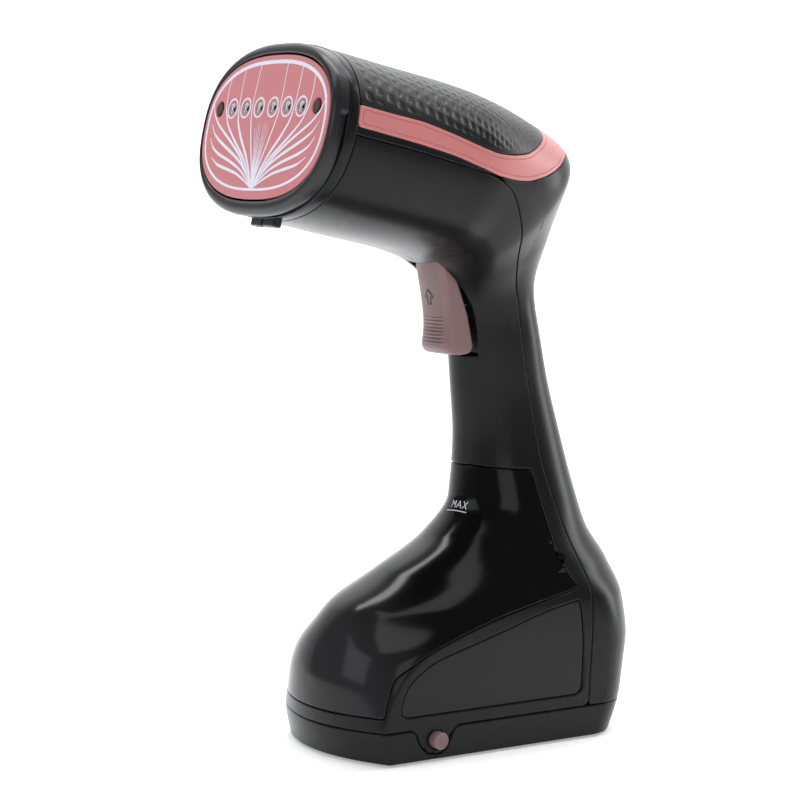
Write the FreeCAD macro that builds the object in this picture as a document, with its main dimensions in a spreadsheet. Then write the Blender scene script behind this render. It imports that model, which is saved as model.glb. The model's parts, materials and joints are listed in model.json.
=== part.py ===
"""Handheld garment steamer: a clamshell body that stands on its own base, a tilted steam head,
a water tank that slides out forwards, a sprung trigger, two tank release buttons and an
accessory latch under the head.

Frame: millimetres, +Z up, X across (the steamer is mirrored about X = 0), -Y forwards.
The origin is on the floor, under the middle of the depth.
The head has a frame of its own: 'along' runs back from the face plate, 'up' leans with it.
"""
import FreeCAD, Part
import Sketcher
import math
import os

from FreeCAD import Placement, Rotation, Vector

os.makedirs("parts", exist_ok=True)
doc = FreeCAD.newDocument("garment_steamer")

# ---------------------------------------------------------------- driving sizes (mm, degrees)
SIZES = {
    "base_half_width": 44.5, "base_front": -68.0, "base_back": 98.0, "base_foot": 1.0,
    "neck_start": 100.0, "neck_length": 90.0, "neck_axis": 45.0,
    "handle_half_width": 18.5, "handle_front": 10.5, "handle_depth": 44.8,
    "bend_radius": 38.0, "head_tilt": 13.0, "head_length": 82.5,
    "head_half_width": 57.7, "barrel_half_height": 39.5,
    "wall": 2.2, "tank_wall": 2.0, "tank_gap": 0.4, "deck_wall": 1.8, "tray_seam": 15.5,
    "tray_floor": 2.4, "panel_inset": 0.4, "panel_thick": 1.2, "panel_gap": 0.2,
    "plate_half_width": 55.0, "plate_half_height": 32.5, "plate_thick": 2.5, "plate_gap": 0.6,
    "lip": 1.7, "skirt_back": 6.0, "groove_back": 8.5, "ring_back": 14.0, "groove_depth": 1.6,
    "nozzle_pitch": 12.35, "nozzle_row": 8.7, "nozzle_radius": 2.9, "nozzle_bore": 1.3,
    "plate_screw_offset": 43.5, "plate_screw_hole": 3.65,
    "gasket_thick": 2.0, "gasket_rim": 5.0,
    "heater_half_width": 42.0, "heater_half_height": 21.0, "heater_length": 44.0,
    "chamber_depth": 12.0, "chamber_rim": 7.0, "element_radius": 3.3, "element_reach": 30.0,
    "thermostat_radius": 8.0, "thermostat_height": 6.0, "fuse_radius": 2.2, "fuse_length": 14.0,
    "trigger_half_width": 12.0, "trigger_gap": 0.4, "trigger_pull": 6.0,
    "pin_radius": 1.6, "pin_clearance": 0.05, "pin_boss": 4.5,
    "button_radius": 3.9, "button_gap": 0.3, "button_flange": 1.4,
    "button_proud": 4.0, "button_height": 10.0, "button_from_front": 41.0,
    "latch_half_width": 10.5, "latch_gap": 0.3, "latch_proud": 3.2,
    "hose_radius": 3.0, "hose_bore": 2.0, "lead_radius": 2.0, "spring_wire": 0.4,
    "screw_radius": 1.4, "screw_head": 2.7, "boss_radius": 3.6,
    "gland_bore": 3.4, "gland_sleeve": 5.6, "gland_flange": 7.6,
    "foot_radius": 7.0, "foot_sunk": 1.2,
    "pump_radius": 13.0, "pump_length": 46.0, "board_length": 52.0, "board_width": 40.0,
    "board_thick": 1.6, "plug_radius": 9.0, "plug_rim": 11.5, "seal_thick": 1.2,
    "valve_radius": 4.0, "valve_gap": 0.3,
}
sheet = doc.addObject("Spreadsheet::Sheet", "Sizes")
for row, (alias, value) in enumerate(SIZES.items(), start=1):
    sheet.set("A%d" % row, alias)
    sheet.set("B%d" % row, str(value))
    sheet.setAlias("B%d" % row, alias)
doc.recompute()


def size(alias):
    """The value of one driving size, read back from the sheet."""
    return float(sheet.get(alias))


ACROSS = Vector(1, 0, 0)
SIDE_REACH = 2 * max(size("base_half_width"), size("head_half_width"))
TILT = math.radians(size("head_tilt"))
HEAD_BACK = Vector(0, math.cos(TILT), -math.sin(TILT))
HEAD_UP = Vector(0, math.sin(TILT), math.cos(TILT))
BEND = Vector(0, size("handle_front") - size("bend_radius"), size("neck_start") + size("neck_length"))
PLATE_CENTRE = (
    BEND + HEAD_UP * (size("bend_radius") + size("barrel_half_height")) - HEAD_BACK * size("head_length")
)
HEAD_FRAME = Placement(PLATE_CENTRE, Rotation(ACROSS, -size("head_tilt")))
NECK_STRETCH = size("neck_length") / 90.0


def head_point(along, up, side=0.0):
    """A point of the head's frame, in the steamer's frame."""
    return PLATE_CENTRE + HEAD_BACK * along + HEAD_UP * up + ACROSS * side


def neck_z(height):
    """Height of a neck feature, which moves up and down as the neck gets longer or shorter."""
    start = size("neck_start")
    return height if height < start else start + (height - start) * NECK_STRETCH


# ---------------------------------------------------------------- the body's outer form
# Rows of the base and neck: height, set back from base_front, set in from base_back, flare
# (0 is the handle's width and 1 the base's), front cap length, rear cap length, cap powers.
BASE_ROWS = [
    (1, 3.0, 12.5, 1.00, 12.7, 25, 1.0, 2.0),
    (16, 0.0, 6.0, 1.00, 13.5, 26, 1.0, 2.0),
    (32, 0.5, 2.5, 1.00, 19.0, 28, 1.4, 2.0),
    (48, 4.5, 0.0, 0.99, 33.0, 31, 2.0, 2.1),
    (64, 14.0, 1.0, 0.95, 66.0, 36, 2.0, 2.1),
    (80, 39.5, 6.5, 0.76, 75.0, 44, 2.0, 2.1),
    (96, 68.0, 16.5, 0.49, 40.0, 38, 2.0, 2.1),
]
# Rows of the neck: height, front and back from the neck's axis, flare.
NECK_ROWS = [(112, -32.7, 31.0, 0.27), (140, -31.5, 23.3, 0.06), (165, -33.2, 16.3, 0.0)]
# Rows of the bend: turn in degrees, bulge (0 is the handle's depth, 1 the barrel's), flare.
BEND_ROWS = [(0, 0.0, 0.0), (15, -0.02, 0.03), (30, 0.42, 0.27), (42, 1.12, 0.63), (58, 1.05, 0.87)]
CAP_STEPS = 8
SECTION_COUNT = 40
MIN_STRAIGHT = 2.0


def flared(flare, widest):
    """Half-width between the handle's and a wider part's."""
    narrow = size("handle_half_width")
    return narrow + (widest - narrow) * flare


def section_rows():
    """Front point, back point, half-width, cap lengths and powers of each section, floor to plate."""
    rows = []
    for height, front, back, flare, cap_f, cap_b, power_t, power_x in BASE_ROWS:
        low = Vector(0, size("base_front") + front, height)
        high = Vector(0, size("base_back") - back, height)
        rows.append((low, high, flared(flare, size("base_half_width")), cap_f, cap_b, power_t, power_x))
    for height, front, back, flare in NECK_ROWS:
        low = Vector(0, size("neck_axis") + front, neck_z(height))
        high = Vector(0, size("neck_axis") + back, neck_z(height))
        rows.append((low, high, flared(flare, size("base_half_width")), 30, 30, 2.0, 2.1))
    for turn, bulge, flare in BEND_ROWS:
        ray = Vector(0, math.cos(math.radians(turn)), math.sin(math.radians(turn)))
        depth = size("handle_depth")
        depth += (2 * size("barrel_half_height") - depth) * bulge
        low = BEND + ray * size("bend_radius")
        rows.append((low, low + ray * depth, flared(flare, size("head_half_width")), 60, 60, 2.2, 2.2))
    for along in (size("head_length"), size("head_length") / 2, size("ring_back")):
        low = head_point(along, -size("barrel_half_height"))
        high = head_point(along, size("barrel_half_height"))
        rows.append((low, high, size("head_half_width"), 60, 60, 2.3, 2.3))
    return rows


def slopes(places, values):
    """Slopes of a curve through values that never swings past them (harmonic means of the chords)."""
    gaps = [b - a for a, b in zip(places, places[1:])]
    chords = [(b - a) / gap for a, b, gap in zip(values, values[1:], gaps)]
    inner = [0.0 if a * b <= 0 else 2 * a * b / (a + b) for a, b in zip(chords, chords[1:])]
    return [chords[0]] + inner + [chords[-1]]


def eased(places, values, tangents, place):
    """The cubic between the two rows on either side of a place along the body."""
    span = max(k for k in range(len(places) - 1) if places[k] <= place)
    gap = places[span + 1] - places[span]
    share = (place - places[span]) / gap
    rise, fall = share * share * (3 - 2 * share), share * (1 - share)
    level = values[span] + (values[span + 1] - values[span]) * rise
    return level + gap * fall * (tangents[span] * (1 - share) - tangents[span + 1] * share)


def even_rows(rows, count):
    """The section rows resampled at even steps along the body, so that a loft runs smoothly."""
    middles = [(row[0] + row[1]) * 0.5 for row in rows]
    places = [0.0]
    for a, b in zip(middles, middles[1:]):
        places.append(places[-1] + (b - a).Length)
    table = []
    for front, back, half_width, cap_f, cap_b, power_t, power_x in rows:
        share = min(1.0, ((back - front).Length - MIN_STRAIGHT) / (cap_f + cap_b))
        caps = (cap_f * share, cap_b * share)
        table.append((front.y, front.z, back.y, back.z, half_width) + caps + (power_t, power_x))
    columns = [list(column) for column in zip(*table)]
    tangents = [slopes(places, column) for column in columns]
    result = []
    for step in range(count):
        place = min(places[-1] * step / (count - 1), places[-1] - 1e-6)
        row = [eased(places, column, tangent, place) for column, tangent in zip(columns, tangents)]
        result.append((Vector(0, row[0], row[1]), Vector(0, row[2], row[3])) + tuple(row[4:]))
    return result


def cap_curve(start, inward, reach, half_width, power_t, power_x):
    """One end of a section, from -X to +X: across = w sin^(2/n), along = reach (1 - cos^(2/m)).

    A power m of 1 gives a shallow arc that meets the sides at a crisp corner; its points are spread
    evenly across the width. From 2 up the end is round, and its points are spread evenly by angle.
    """
    points = []
    roundness = min(max(power_t - 1.0, 0.0), 1.0)
    for step in range(-CAP_STEPS, CAP_STEPS + 1):
        share = step / CAP_STEPS
        turn = roundness * math.pi / 2 * share + (1 - roundness) * math.asin(share)
        side = math.copysign(abs(math.sin(turn)) ** (2 / power_x), turn) * half_width
        depth = reach * (1 - max(math.cos(turn), 0.0) ** (2 / power_t))
        points.append(start + inward * depth + ACROSS * side)
    curve = Part.BSplineCurve()
    curve.interpolate(Points=points, Parameters=[float(k) for k in range(len(points))])
    return curve.toShape(), points[0], points[-1]


def section_wire(row, inset):
    """A closed section: a front cap, a straight side, a rear cap and the other side."""
    front, back, half_width, cap_f, cap_b, power_t, power_x = row
    axis = (back - front).normalize()
    front = front + axis * inset
    back = back - axis * inset
    half_width -= inset
    room = (back - front).Length - MIN_STRAIGHT
    share = min(1.0, room / (cap_f + cap_b))
    first, left_a, right_a = cap_curve(front, axis, cap_f * share, half_width, power_t, power_x)
    power_back = max(power_t, 2.0)
    last, left_b, right_b = cap_curve(back, -axis, cap_b * share, half_width, power_back, power_x)
    right = Part.makeLine(right_a, right_b)
    left = Part.makeLine(left_a, left_b)
    return Part.Wire([first, right, last, left])


def body_form(inset, floor=None, front_end=None):
    """The body's solid form, shrunk by inset, with its ends moved to floor and front_end if given."""
    rows = even_rows(section_rows(), SECTION_COUNT)
    if floor is not None:
        low, high = rows[0][0], rows[0][1]
        rows[0] = (Vector(0, low.y, floor), Vector(0, high.y, floor)) + rows[0][2:]
    if front_end is not None:
        shift = HEAD_BACK * (front_end - size("ring_back"))
        rows[-1] = (rows[-1][0] + shift, rows[-1][1] + shift) + rows[-1][2:]
    return Part.makeLoft([section_wire(row, inset) for row in rows], True, False)


# ---------------------------------------------------------------- cutting outlines, seen from the side
def side_points(pairs):
    """Points of the plane X = 0 from (y, height) pairs, with neck heights following the neck."""
    return [Vector(0, y, neck_z(height)) for y, height in pairs]


def prism_of(wire):
    """A solid that runs right across the body, from an outline in the plane X = 0."""
    face = Part.Face(wire)
    face.translate(ACROSS * -SIDE_REACH)
    return face.extrude(ACROSS * (2 * SIDE_REACH))


def polygon_prism(points):
    return prism_of(Part.makePolygon(points + points[:1]))


def curved_prism(curve_points, closing_points):
    """A prism whose outline is a smooth curve, closed by straight lines through closing_points."""
    curve = Part.BSplineCurve()
    curve.interpolate(Points=curve_points)
    corners = [curve_points[-1]] + closing_points + [curve_points[0]]
    lines = [Part.makeLine(a, b) for a, b in zip(corners, corners[1:])]
    return prism_of(Part.Wire([curve.toShape()] + lines))


def tank_outline():
    """The tank's seam from the front of the base, under it, up its back and forward over it."""
    width = size("base_half_width")
    front = size("base_front")
    return side_points([
        (front - width, 22), (front + 13.5, 22), (front + 16, 30), (front + 20, 39),
        (front + 28, 44), (front + 40, 50), (front + 59.5, 56.7), (front + 79, 62.2),
        (front + 99.5, 66.6), (front + 120.5, 70.6), (front + 122, 72.6), (50.3, 78.7),
        (47.0, 89.4), (45.2, 102.3), (43.5, 112.9), (41.3, 124.1), (39.0, 125.4),
        (27.7, 126.2), (10.0, 128.4), (-10.0, 131.5), (front - width, 142),
    ])


def tank_prism(growth):
    """The tank's outline grown (or shrunk) by growth and carried across the body."""
    points = tank_outline()
    wire = Part.makePolygon(points + points[:1])
    if growth:
        wire = wire.makeOffset2D(growth, 2)
    return prism_of(wire)


def shell_seam():
    """The seam between the front and the rear shell, from the head down to the tray."""
    seam = [head_point(size("ring_back") - 4, -1.0), head_point(48, -0.8), head_point(80, -1.8)]
    seam += [head_point(92, -3.0), head_point(103, -8.0), head_point(119, -24.5)]
    seam += [Vector(0, size("handle_front") + 22.5, BEND.z + 17.6)]
    seam += side_points([(37.3, 186), (41.7, 161), (45.3, 139), (47.5, 124.8)])
    seam += side_points([(51.7, 107), (57, 86), (60.5, 72), (60, 50), (58.5, 30), (57.5, 10)])
    return seam


def rear_prism():
    far = size("base_back") + size("base_half_width")
    closing = [Vector(0, far, 10), Vector(0, far, 2 * BEND.z), head_point(size("ring_back") - 4, 200)]
    return curved_prism(shell_seam(), closing)


def head_curve_prism(pairs):
    """Everything above a curve given in the head's frame as (along, up) pairs."""
    curve = [head_point(along, up) for along, up in pairs]
    closing = [head_point(pairs[-1][0] + 60, 150), head_point(pairs[0][0], 150)]
    return curved_prism(curve, closing)


BAND_TOP = [(5, 12.5), (30, 12.6), (47, 12.8), (64, 11.2), (78, 9.3), (88, 8.5), (98, 9.9),
            (107, 12.7), (114, 16.8), (122, 23.0), (131, 33.0)]
BAND_FOOT = [(5, 2.7), (30, 2.7), (48, 2.5), (66, 1.7), (80, 0.0), (90, -1.2), (100, -1.0),
             (110, 0.7), (120, 4.9), (129, 10.5), (140, 20.0), (150, 31.0)]


def tray_prism():
    """Everything under the tray seam, with a lobe left out round each release button."""
    seam = size("tray_seam")
    middle = size("base_front") + size("button_from_front")
    far = size("base_half_width")
    points = [(size("base_front") - far, seam), (middle - 13, seam), (middle - 10.5, 12.6)]
    points += [(middle - 9.2, 9.2), (middle - 5.5, 4.9), (middle, 3.5), (middle + 5, 5.5)]
    points += [(middle + 8.5, 12.6), (middle + 11.5, seam), (size("base_back") + far, seam)]
    points += [(size("base_back") + far, -9), (size("base_front") - far, -9)]
    return polygon_prism([Vector(0, y, z) for y, z in points])


def panel_prism(growth):
    """The side panel's outline, which follows the tank's seam along its top."""
    front = size("base_front")
    low = size("tray_seam") + 6
    points = [(front + 25, low), (front + 22.5, low + 2), (front + 23, 28.6), (front + 27.5, 36.7)]
    points += [(front + 40, 44.8), (front + 59, 50.3), (front + 79, 55.7), (front + 92, 59.6)]
    points += [(front + 106, 63.0), (front + 119, 65.1), (front + 121.7, 64), (front + 122.7, 45.7)]
    points += [(front + 121.2, 23.6), (front + 120, low)]
    wire = Part.makePolygon([Vector(0, y, z) for y, z in points + points[:1]])
    return prism_of(wire.makeOffset2D(growth, 2) if growth else wire)


# ---------------------------------------------------------------- helpers for the parametric pieces
SUB_PARTS = []


def finish(piece, node):
    """Name a finished sub-part after its node and keep it for the export."""
    piece.Label = node
    SUB_PARTS.append(piece)
    return piece


def feature(node, shape, place=None):
    """A sub-part whose form only Part's own functions can give."""
    piece = doc.addObject("Part::Feature", node)
    piece.Shape = shape
    if place is not None:
        piece.Placement = place
    return finish(piece, node)


def primitive(kind, name, formulas, place):
    """A Part primitive whose sizes follow the sheet."""
    piece = doc.addObject(kind, name)
    for prop, formula in formulas.items():
        piece.setExpression(prop, formula)
    piece.Placement = place
    return piece


def boolean(kind, name, base, tool):
    piece = doc.addObject(kind, name)
    piece.Base = base
    piece.Tool = tool
    return piece


def fused(name, pieces):
    piece = doc.addObject("Part::MultiFuse", name)
    piece.Shapes = pieces
    return piece


def along_x(x, y, z):
    """A placement whose local +Z runs along +X."""
    return Placement(Vector(x, y, z), Rotation(Vector(0, 1, 0), 90))


def along_y(x, y, z):
    """A placement whose local +Z runs along +Y."""
    return Placement(Vector(x, y, z), Rotation(ACROSS, -90))


def in_head(along, up, side=0.0):
    """A placement in the head whose local +Z runs back along the barrel."""
    return Placement(head_point(along, up, side), HEAD_FRAME.Rotation.multiply(Rotation(ACROSS, -90)))


def new_body(node, place):
    body = doc.addObject("PartDesign::Body", node)
    body.Placement = place
    return body


def plane_of(body, role):
    return next(item for item in body.Origin.OriginFeatures if item.Role == role)


def new_sketch(body, name, role="XY_Plane", height=0.0):
    sketch = body.newObject("Sketcher::SketchObject", name)
    sketch.AttachmentSupport = [(plane_of(body, role), "")]
    sketch.MapMode = "FlatFace"
    sketch.AttachmentOffset = Placement(Vector(0, 0, height), Rotation())
    return sketch


def add_circle(sketch, formula, x=0.0, y=0.0):
    """A circle whose radius follows the sheet."""
    index = sketch.addGeometry(Part.Circle(Vector(x, y, 0), Vector(0, 0, 1), 1.0), False)
    sketch.addConstraint(Sketcher.Constraint("DistanceX", -1, 1, index, 3, x))
    sketch.addConstraint(Sketcher.Constraint("DistanceY", -1, 1, index, 3, y))
    radius = sketch.addConstraint(Sketcher.Constraint("Radius", index, 1.0))
    sketch.setExpression("Constraints[%d]" % radius, formula)


def add_rectangle(sketch, width, height, x=0.0, y=0.0):
    """A rectangle centred on (x, y); its width and height follow the sheet."""
    corners = [Vector(x - 1, y - 1, 0), Vector(x + 1, y - 1, 0)]
    corners += [Vector(x + 1, y + 1, 0), Vector(x - 1, y + 1, 0)]
    first = sketch.GeometryCount
    for a, b in zip(corners, corners[1:] + corners[:1]):
        sketch.addGeometry(Part.LineSegment(a, b), False)
    for side in range(4):
        after = first + (side + 1) % 4
        sketch.addConstraint(Sketcher.Constraint("Coincident", first + side, 2, after, 1))
    for side, kind in enumerate(("Horizontal", "Vertical", "Horizontal", "Vertical")):
        sketch.addConstraint(Sketcher.Constraint(kind, first + side))
    wide = sketch.addConstraint(Sketcher.Constraint("DistanceX", first, 1, first, 2, 2.0))
    sketch.setExpression("Constraints[%d]" % wide, width)
    tall = sketch.addConstraint(Sketcher.Constraint("DistanceY", first + 1, 1, first + 1, 2, 2.0))
    sketch.setExpression("Constraints[%d]" % tall, height)
    left = sketch.addConstraint(Sketcher.Constraint("DistanceX", -1, 1, first, 1, x - 1))
    sketch.setExpression("Constraints[%d]" % left, "%s - (%s) / 2" % (x, width))
    low = sketch.addConstraint(Sketcher.Constraint("DistanceY", -1, 1, first, 1, y - 1))
    sketch.setExpression("Constraints[%d]" % low, "%s - (%s) / 2" % (y, height))


def add_outline(sketch, points):
    """A closed outline of straight lines."""
    first = sketch.GeometryCount
    for a, b in zip(points, points[1:] + points[:1]):
        sketch.addGeometry(Part.LineSegment(Vector(a[0], a[1], 0), Vector(b[0], b[1], 0)), False)
    for side in range(len(points)):
        after = first + (side + 1) % len(points)
        sketch.addConstraint(Sketcher.Constraint("Coincident", first + side, 2, after, 1))


def pad(body, sketch, name, formula, both_ways=False):
    step = body.newObject("PartDesign::Pad", name)
    step.Profile = sketch
    step.setExpression("Length", formula)
    step.Midplane = both_ways
    return step


def pocket(body, sketch, name, formula=None):
    """A pocket cut into the solid above its sketch; through everything when no depth is given."""
    step = body.newObject("PartDesign::Pocket", name)
    step.Profile = sketch
    step.Reversed = True
    if formula is None:
        step.Type = 1
        step.Midplane = True
    else:
        step.setExpression("Length", formula)
    return step


def turned_body(node, outline, place):
    """A round piece: its half outline (radius, height) revolved about the local Z axis."""
    body = new_body(node, place)
    sketch = new_sketch(body, node + "_profile", "XZ_Plane")
    add_outline(sketch, outline)
    step = body.newObject("PartDesign::Revolution", node + "_turned")
    step.Profile = sketch
    step.ReferenceAxis = (sketch, ["V_Axis"])
    step.Angle = 360
    body.Tip = step
    return body


def coil_spring(node, place, radius, length, turns):
    """A compression spring: a round wire carried along a helix about local Z."""
    wire = size("spring_wire")
    helix = Part.makeHelix(length / turns, length, radius)
    start = Part.makeCircle(wire, Vector(radius, 0, 0), Vector(0, 1, 0))
    shape = Part.Wire(helix).makePipeShell([Part.Wire(start)], True, True)
    return feature(node, shape, place)


def tube_along(node, points, radius, bore, bend):
    """A hose: straight runs joined by round bends, with a bore unless bore is 0."""
    edges = []
    start = points[0]
    for before, corner, after in zip(points, points[1:], points[2:]):
        arm_in = (before - corner).normalize()
        arm_out = (after - corner).normalize()
        half = arm_in.getAngle(arm_out) / 2
        reach = bend / math.tan(half)
        middle = (arm_in + arm_out).normalize() * (bend / math.sin(half) - bend)
        enter = corner + arm_in * reach
        leave = corner + arm_out * reach
        edges.append(Part.makeLine(start, enter))
        edges.append(Part.Arc(enter, corner + middle, leave).toShape())
        start = leave
    edges.append(Part.makeLine(start, points[-1]))
    path = Part.Wire(edges)
    heading = (points[1] - points[0]).normalize()
    shape = path.makePipeShell([Part.Wire(Part.makeCircle(radius, points[0], heading))], True, False)
    if bore:
        inner = path.makePipeShell([Part.Wire(Part.makeCircle(bore, points[0], heading))], True, False)
        shape = shape.cut(inner)
    return feature(node, shape)


# ---------------------------------------------------------------- housing shells
WALL = size("wall")
outer = body_form(0.0)
inner = body_form(WALL, floor=-3.0, front_end=size("ring_back") - 3)
skin = outer.cut(inner)
tank_bay = tank_prism(size("tank_gap"))
tray_block = tray_prism()
rear_block = rear_prism()
above_band = head_curve_prism(BAND_TOP)
above_band_foot = head_curve_prism(BAND_FOOT)
panel_hole = panel_prism(size("panel_gap"))

top_cover = skin.common(above_band)
pink_band = skin.common(above_band_foot).cut(above_band)
rear_shell = skin.common(rear_block).cut(above_band_foot).cut(tank_bay).cut(tray_block)

# Places that more than one piece uses.
BUTTON_Y = size("base_front") + size("button_from_front")
BUTTON_Z = size("button_height")
TRIGGER_PIN = Vector(0, BEND.y + size("bend_radius") - 10.5, BEND.z + size("bend_radius") + 2.0)
VALVE_Y, VALVE_Z = 49.0, 80.5
SOCKET_Y, SOCKET_RIM = 54.6, 3.6
PLUG_Y, PLUG_Z = 47.5, 108.0
# Housing screws: height, y of the bar that carries the boss, y of the head's seat.
SCREW_SPOTS = [(neck_z(150.0), 38.0, 58.0), (92.0, 50.0, 77.0)]


def rod(start, direction, radius, length):
    return Part.makeCylinder(radius, length, start, direction)


def trigger_points():
    """Side outline of the trigger in the plane X = 0: hollow front, rounded foot, then up the back."""
    top = BEND.z + size("bend_radius") * math.sin(math.radians(70))
    low = BEND.z - 10.4
    front = size("handle_front")
    return [
        (front - 13.6, top - 1.2), (front - 12.7, top - 6.7), (front - 11.9, top - 11.7),
        (front - 10.9, top - 16.7), (front - 9.9, top - 23.2), (front - 9.3, low + 17.4),
        (front - 9.2, low + 12.9), (front - 9.6, low + 8.4), (front - 10.1, low + 5.4),
        (front - 9.9, low + 3.2), (front - 8.8, low + 1.3), (front - 6.9, low + 0.3),
        (front - 4.2, low), (front + 1.0, low + 0.6), (front + 2.9, low + 1.6),
        (front + 3.9, low + 4.1), (front + 2.5, low + 11.0), (front + 0.7, low + 18.8),
        (front - 2.2, top - 19.5), (front - 4.4, top - 13.5), (front - 7.2, top - 8.5),
        (front - 9.9, top - 5.0), (front - 11.1, top - 1.0),
    ]


def side_band(direction):
    """Half space on one side of the body (direction is +1 or -1), clear of the middle."""
    reach = SIDE_REACH
    low = Vector(0 if direction > 0 else -reach, -reach * 2, -10)
    return Part.makeBox(reach, reach * 4, reach * 5, low)


front_shell = skin.cut(rear_block).cut(above_band_foot).cut(tank_bay).cut(tray_block)

# The tank bay's lining closes the base and the neck behind the tank; it lies between the bay
# and a copy of it grown by the deck's wall, inside the skin.
lining_block = tank_prism(size("tank_gap") + size("deck_wall")).cut(tank_bay)
inside = body_form(WALL - 0.6, floor=-3.0)
lining = lining_block.common(inside)
lining = lining.cut(rod(Vector(0, PLUG_Y - 14, PLUG_Z), Vector(0, 1, 0), size("plug_rim") + 1, 30))
lining = lining.cut(rod(Vector(0, VALVE_Y - 14, VALVE_Z), Vector(0, 1, 0), size("valve_radius") + 1.2, 30))
rim_room = size("valve_radius") + size("valve_gap") + SOCKET_RIM + 0.2
lining = lining.cut(rod(Vector(0, SOCKET_Y - 0.1, VALVE_Z), Vector(0, 1, 0), rim_room, 8))
front_shell = front_shell.fuse(lining.cut(tray_block))

# Side panels sit in shallow pockets with a backing wall behind them.
panel_floor = body_form(size("panel_inset") + size("panel_thick"))
panel_face = body_form(size("panel_inset"))
panel_back = body_form(size("panel_inset") + size("panel_thick") + 1.4)
panel_zone = panel_prism(1.6)
backing = panel_floor.cut(panel_back).common(panel_zone).cut(tank_bay)
front_shell = front_shell.fuse(backing).cut(panel_hole.cut(panel_floor))
panels = panel_face.cut(panel_floor).common(panel_prism(0.0))

# The trigger's slot, the release buttons' holes and the accessory latch's slot.
slot_half = size("trigger_half_width") + size("trigger_gap")
slot_wire = Part.makePolygon([Vector(0, y, z) for y, z in trigger_points() + trigger_points()[:1]])
slot_wire = slot_wire.makeOffset2D(size("trigger_gap"), 2)
slot_face = Part.Face(slot_wire)
slot_face.translate(ACROSS * -slot_half)
slot = slot_face.extrude(ACROSS * (2 * slot_half))
for share in (0.0, 0.33, 0.67, 1.0):
    turned_slot = slot.copy()
    turned_slot.rotate(TRIGGER_PIN, ACROSS, share * size("trigger_pull"))
    front_shell = front_shell.cut(turned_slot)
button_hole = rod(
    Vector(-SIDE_REACH, BUTTON_Y, BUTTON_Z), ACROSS,
    size("button_radius") + size("button_gap"), 2 * SIDE_REACH
)
front_shell = front_shell.cut(button_hole)

# Pin bosses: two ribs hold the trigger's pin, one each side of the slot.
RIB_THICK, WEB_DEPTH, WEB_HEIGHT = 2.2, 6.0, 18.0
rib_inner = slot_half + 0.4
for start_x in (-rib_inner - RIB_THICK, rib_inner):
    start = TRIGGER_PIN + ACROSS * start_x
    rib = rod(start, ACROSS, size("pin_boss"), RIB_THICK)
    web_corner = Vector(start_x, TRIGGER_PIN.y - WEB_DEPTH / 2, TRIGGER_PIN.z - WEB_HEIGHT)
    web = Part.makeBox(RIB_THICK, WEB_DEPTH, WEB_HEIGHT, web_corner)
    front_shell = front_shell.fuse(rib.fuse(web).common(outer))
PIN_REACH = rib_inner + RIB_THICK
pin_start = TRIGGER_PIN - ACROSS * PIN_REACH
front_shell = front_shell.cut(rod(pin_start, ACROSS, size("pin_radius"), 2 * PIN_REACH))

# Screw bosses stand on bars across the front shell; the rear shell has a cup for each head.
HEAD_BORE = size("screw_head") + 0.3
BACKWARDS = Vector(0, 1, 0)
bar_room = body_form(WALL - 0.4, floor=-3.0)
for height, bar_y, seat in SCREW_SPOTS:
    start = Vector(0, bar_y, height)
    boss = rod(start, BACKWARDS, size("boss_radius"), seat - WALL - bar_y)
    bar = Part.makeBox(2 * SIDE_REACH, 2.4, 7.0, Vector(-SIDE_REACH, bar_y, height - 3.5))
    bridge = boss.fuse(bar.common(bar_room)).cut(rod(start, BACKWARDS, size("screw_radius"), 60))
    front_shell = front_shell.fuse(bridge)
    cup = rod(Vector(0, seat - WALL, height), BACKWARDS, HEAD_BORE + 1.4, 60).common(outer)
    rear_shell = rear_shell.fuse(cup)
    rear_shell = rear_shell.cut(rod(Vector(0, seat - 20, height), BACKWARDS, size("screw_radius") + 0.2, 90))
    rear_shell = rear_shell.cut(rod(Vector(0, seat, height), BACKWARDS, HEAD_BORE, 90))

feature("front_shell", front_shell)
feature("top_cover", top_cover)
feature("pink_band", pink_band)
feature("side_panel_left", panels.common(side_band(-1)))
feature("side_panel_right", panels.common(side_band(1)))

# ---------------------------------------------------------------- rear shell with the cord inlet, base tray
GLAND_Z = size("tray_seam") + 12.0
gland_hole = rod(Vector(0, 0, GLAND_Z), BACKWARDS, size("gland_sleeve"), 3 * size("base_back"))
feature("rear_shell", rear_shell.cut(gland_hole))
gland_end = size("base_back") - 1.5
GLAND_LENGTH, GLAND_FLANGE_BACK = 12.0, 9.0
gland = rod(Vector(0, gland_end - GLAND_LENGTH, GLAND_Z), BACKWARDS, size("gland_sleeve"), GLAND_LENGTH)
flange_y = gland_end - GLAND_FLANGE_BACK
gland = gland.fuse(rod(Vector(0, flange_y, GLAND_Z), BACKWARDS, size("gland_flange"), 2.0))
gland_bore = rod(Vector(0, gland_end - GLAND_LENGTH, GLAND_Z), BACKWARDS, size("gland_bore"), GLAND_LENGTH)
feature("cord_gland", gland.cut(gland_bore))

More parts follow.
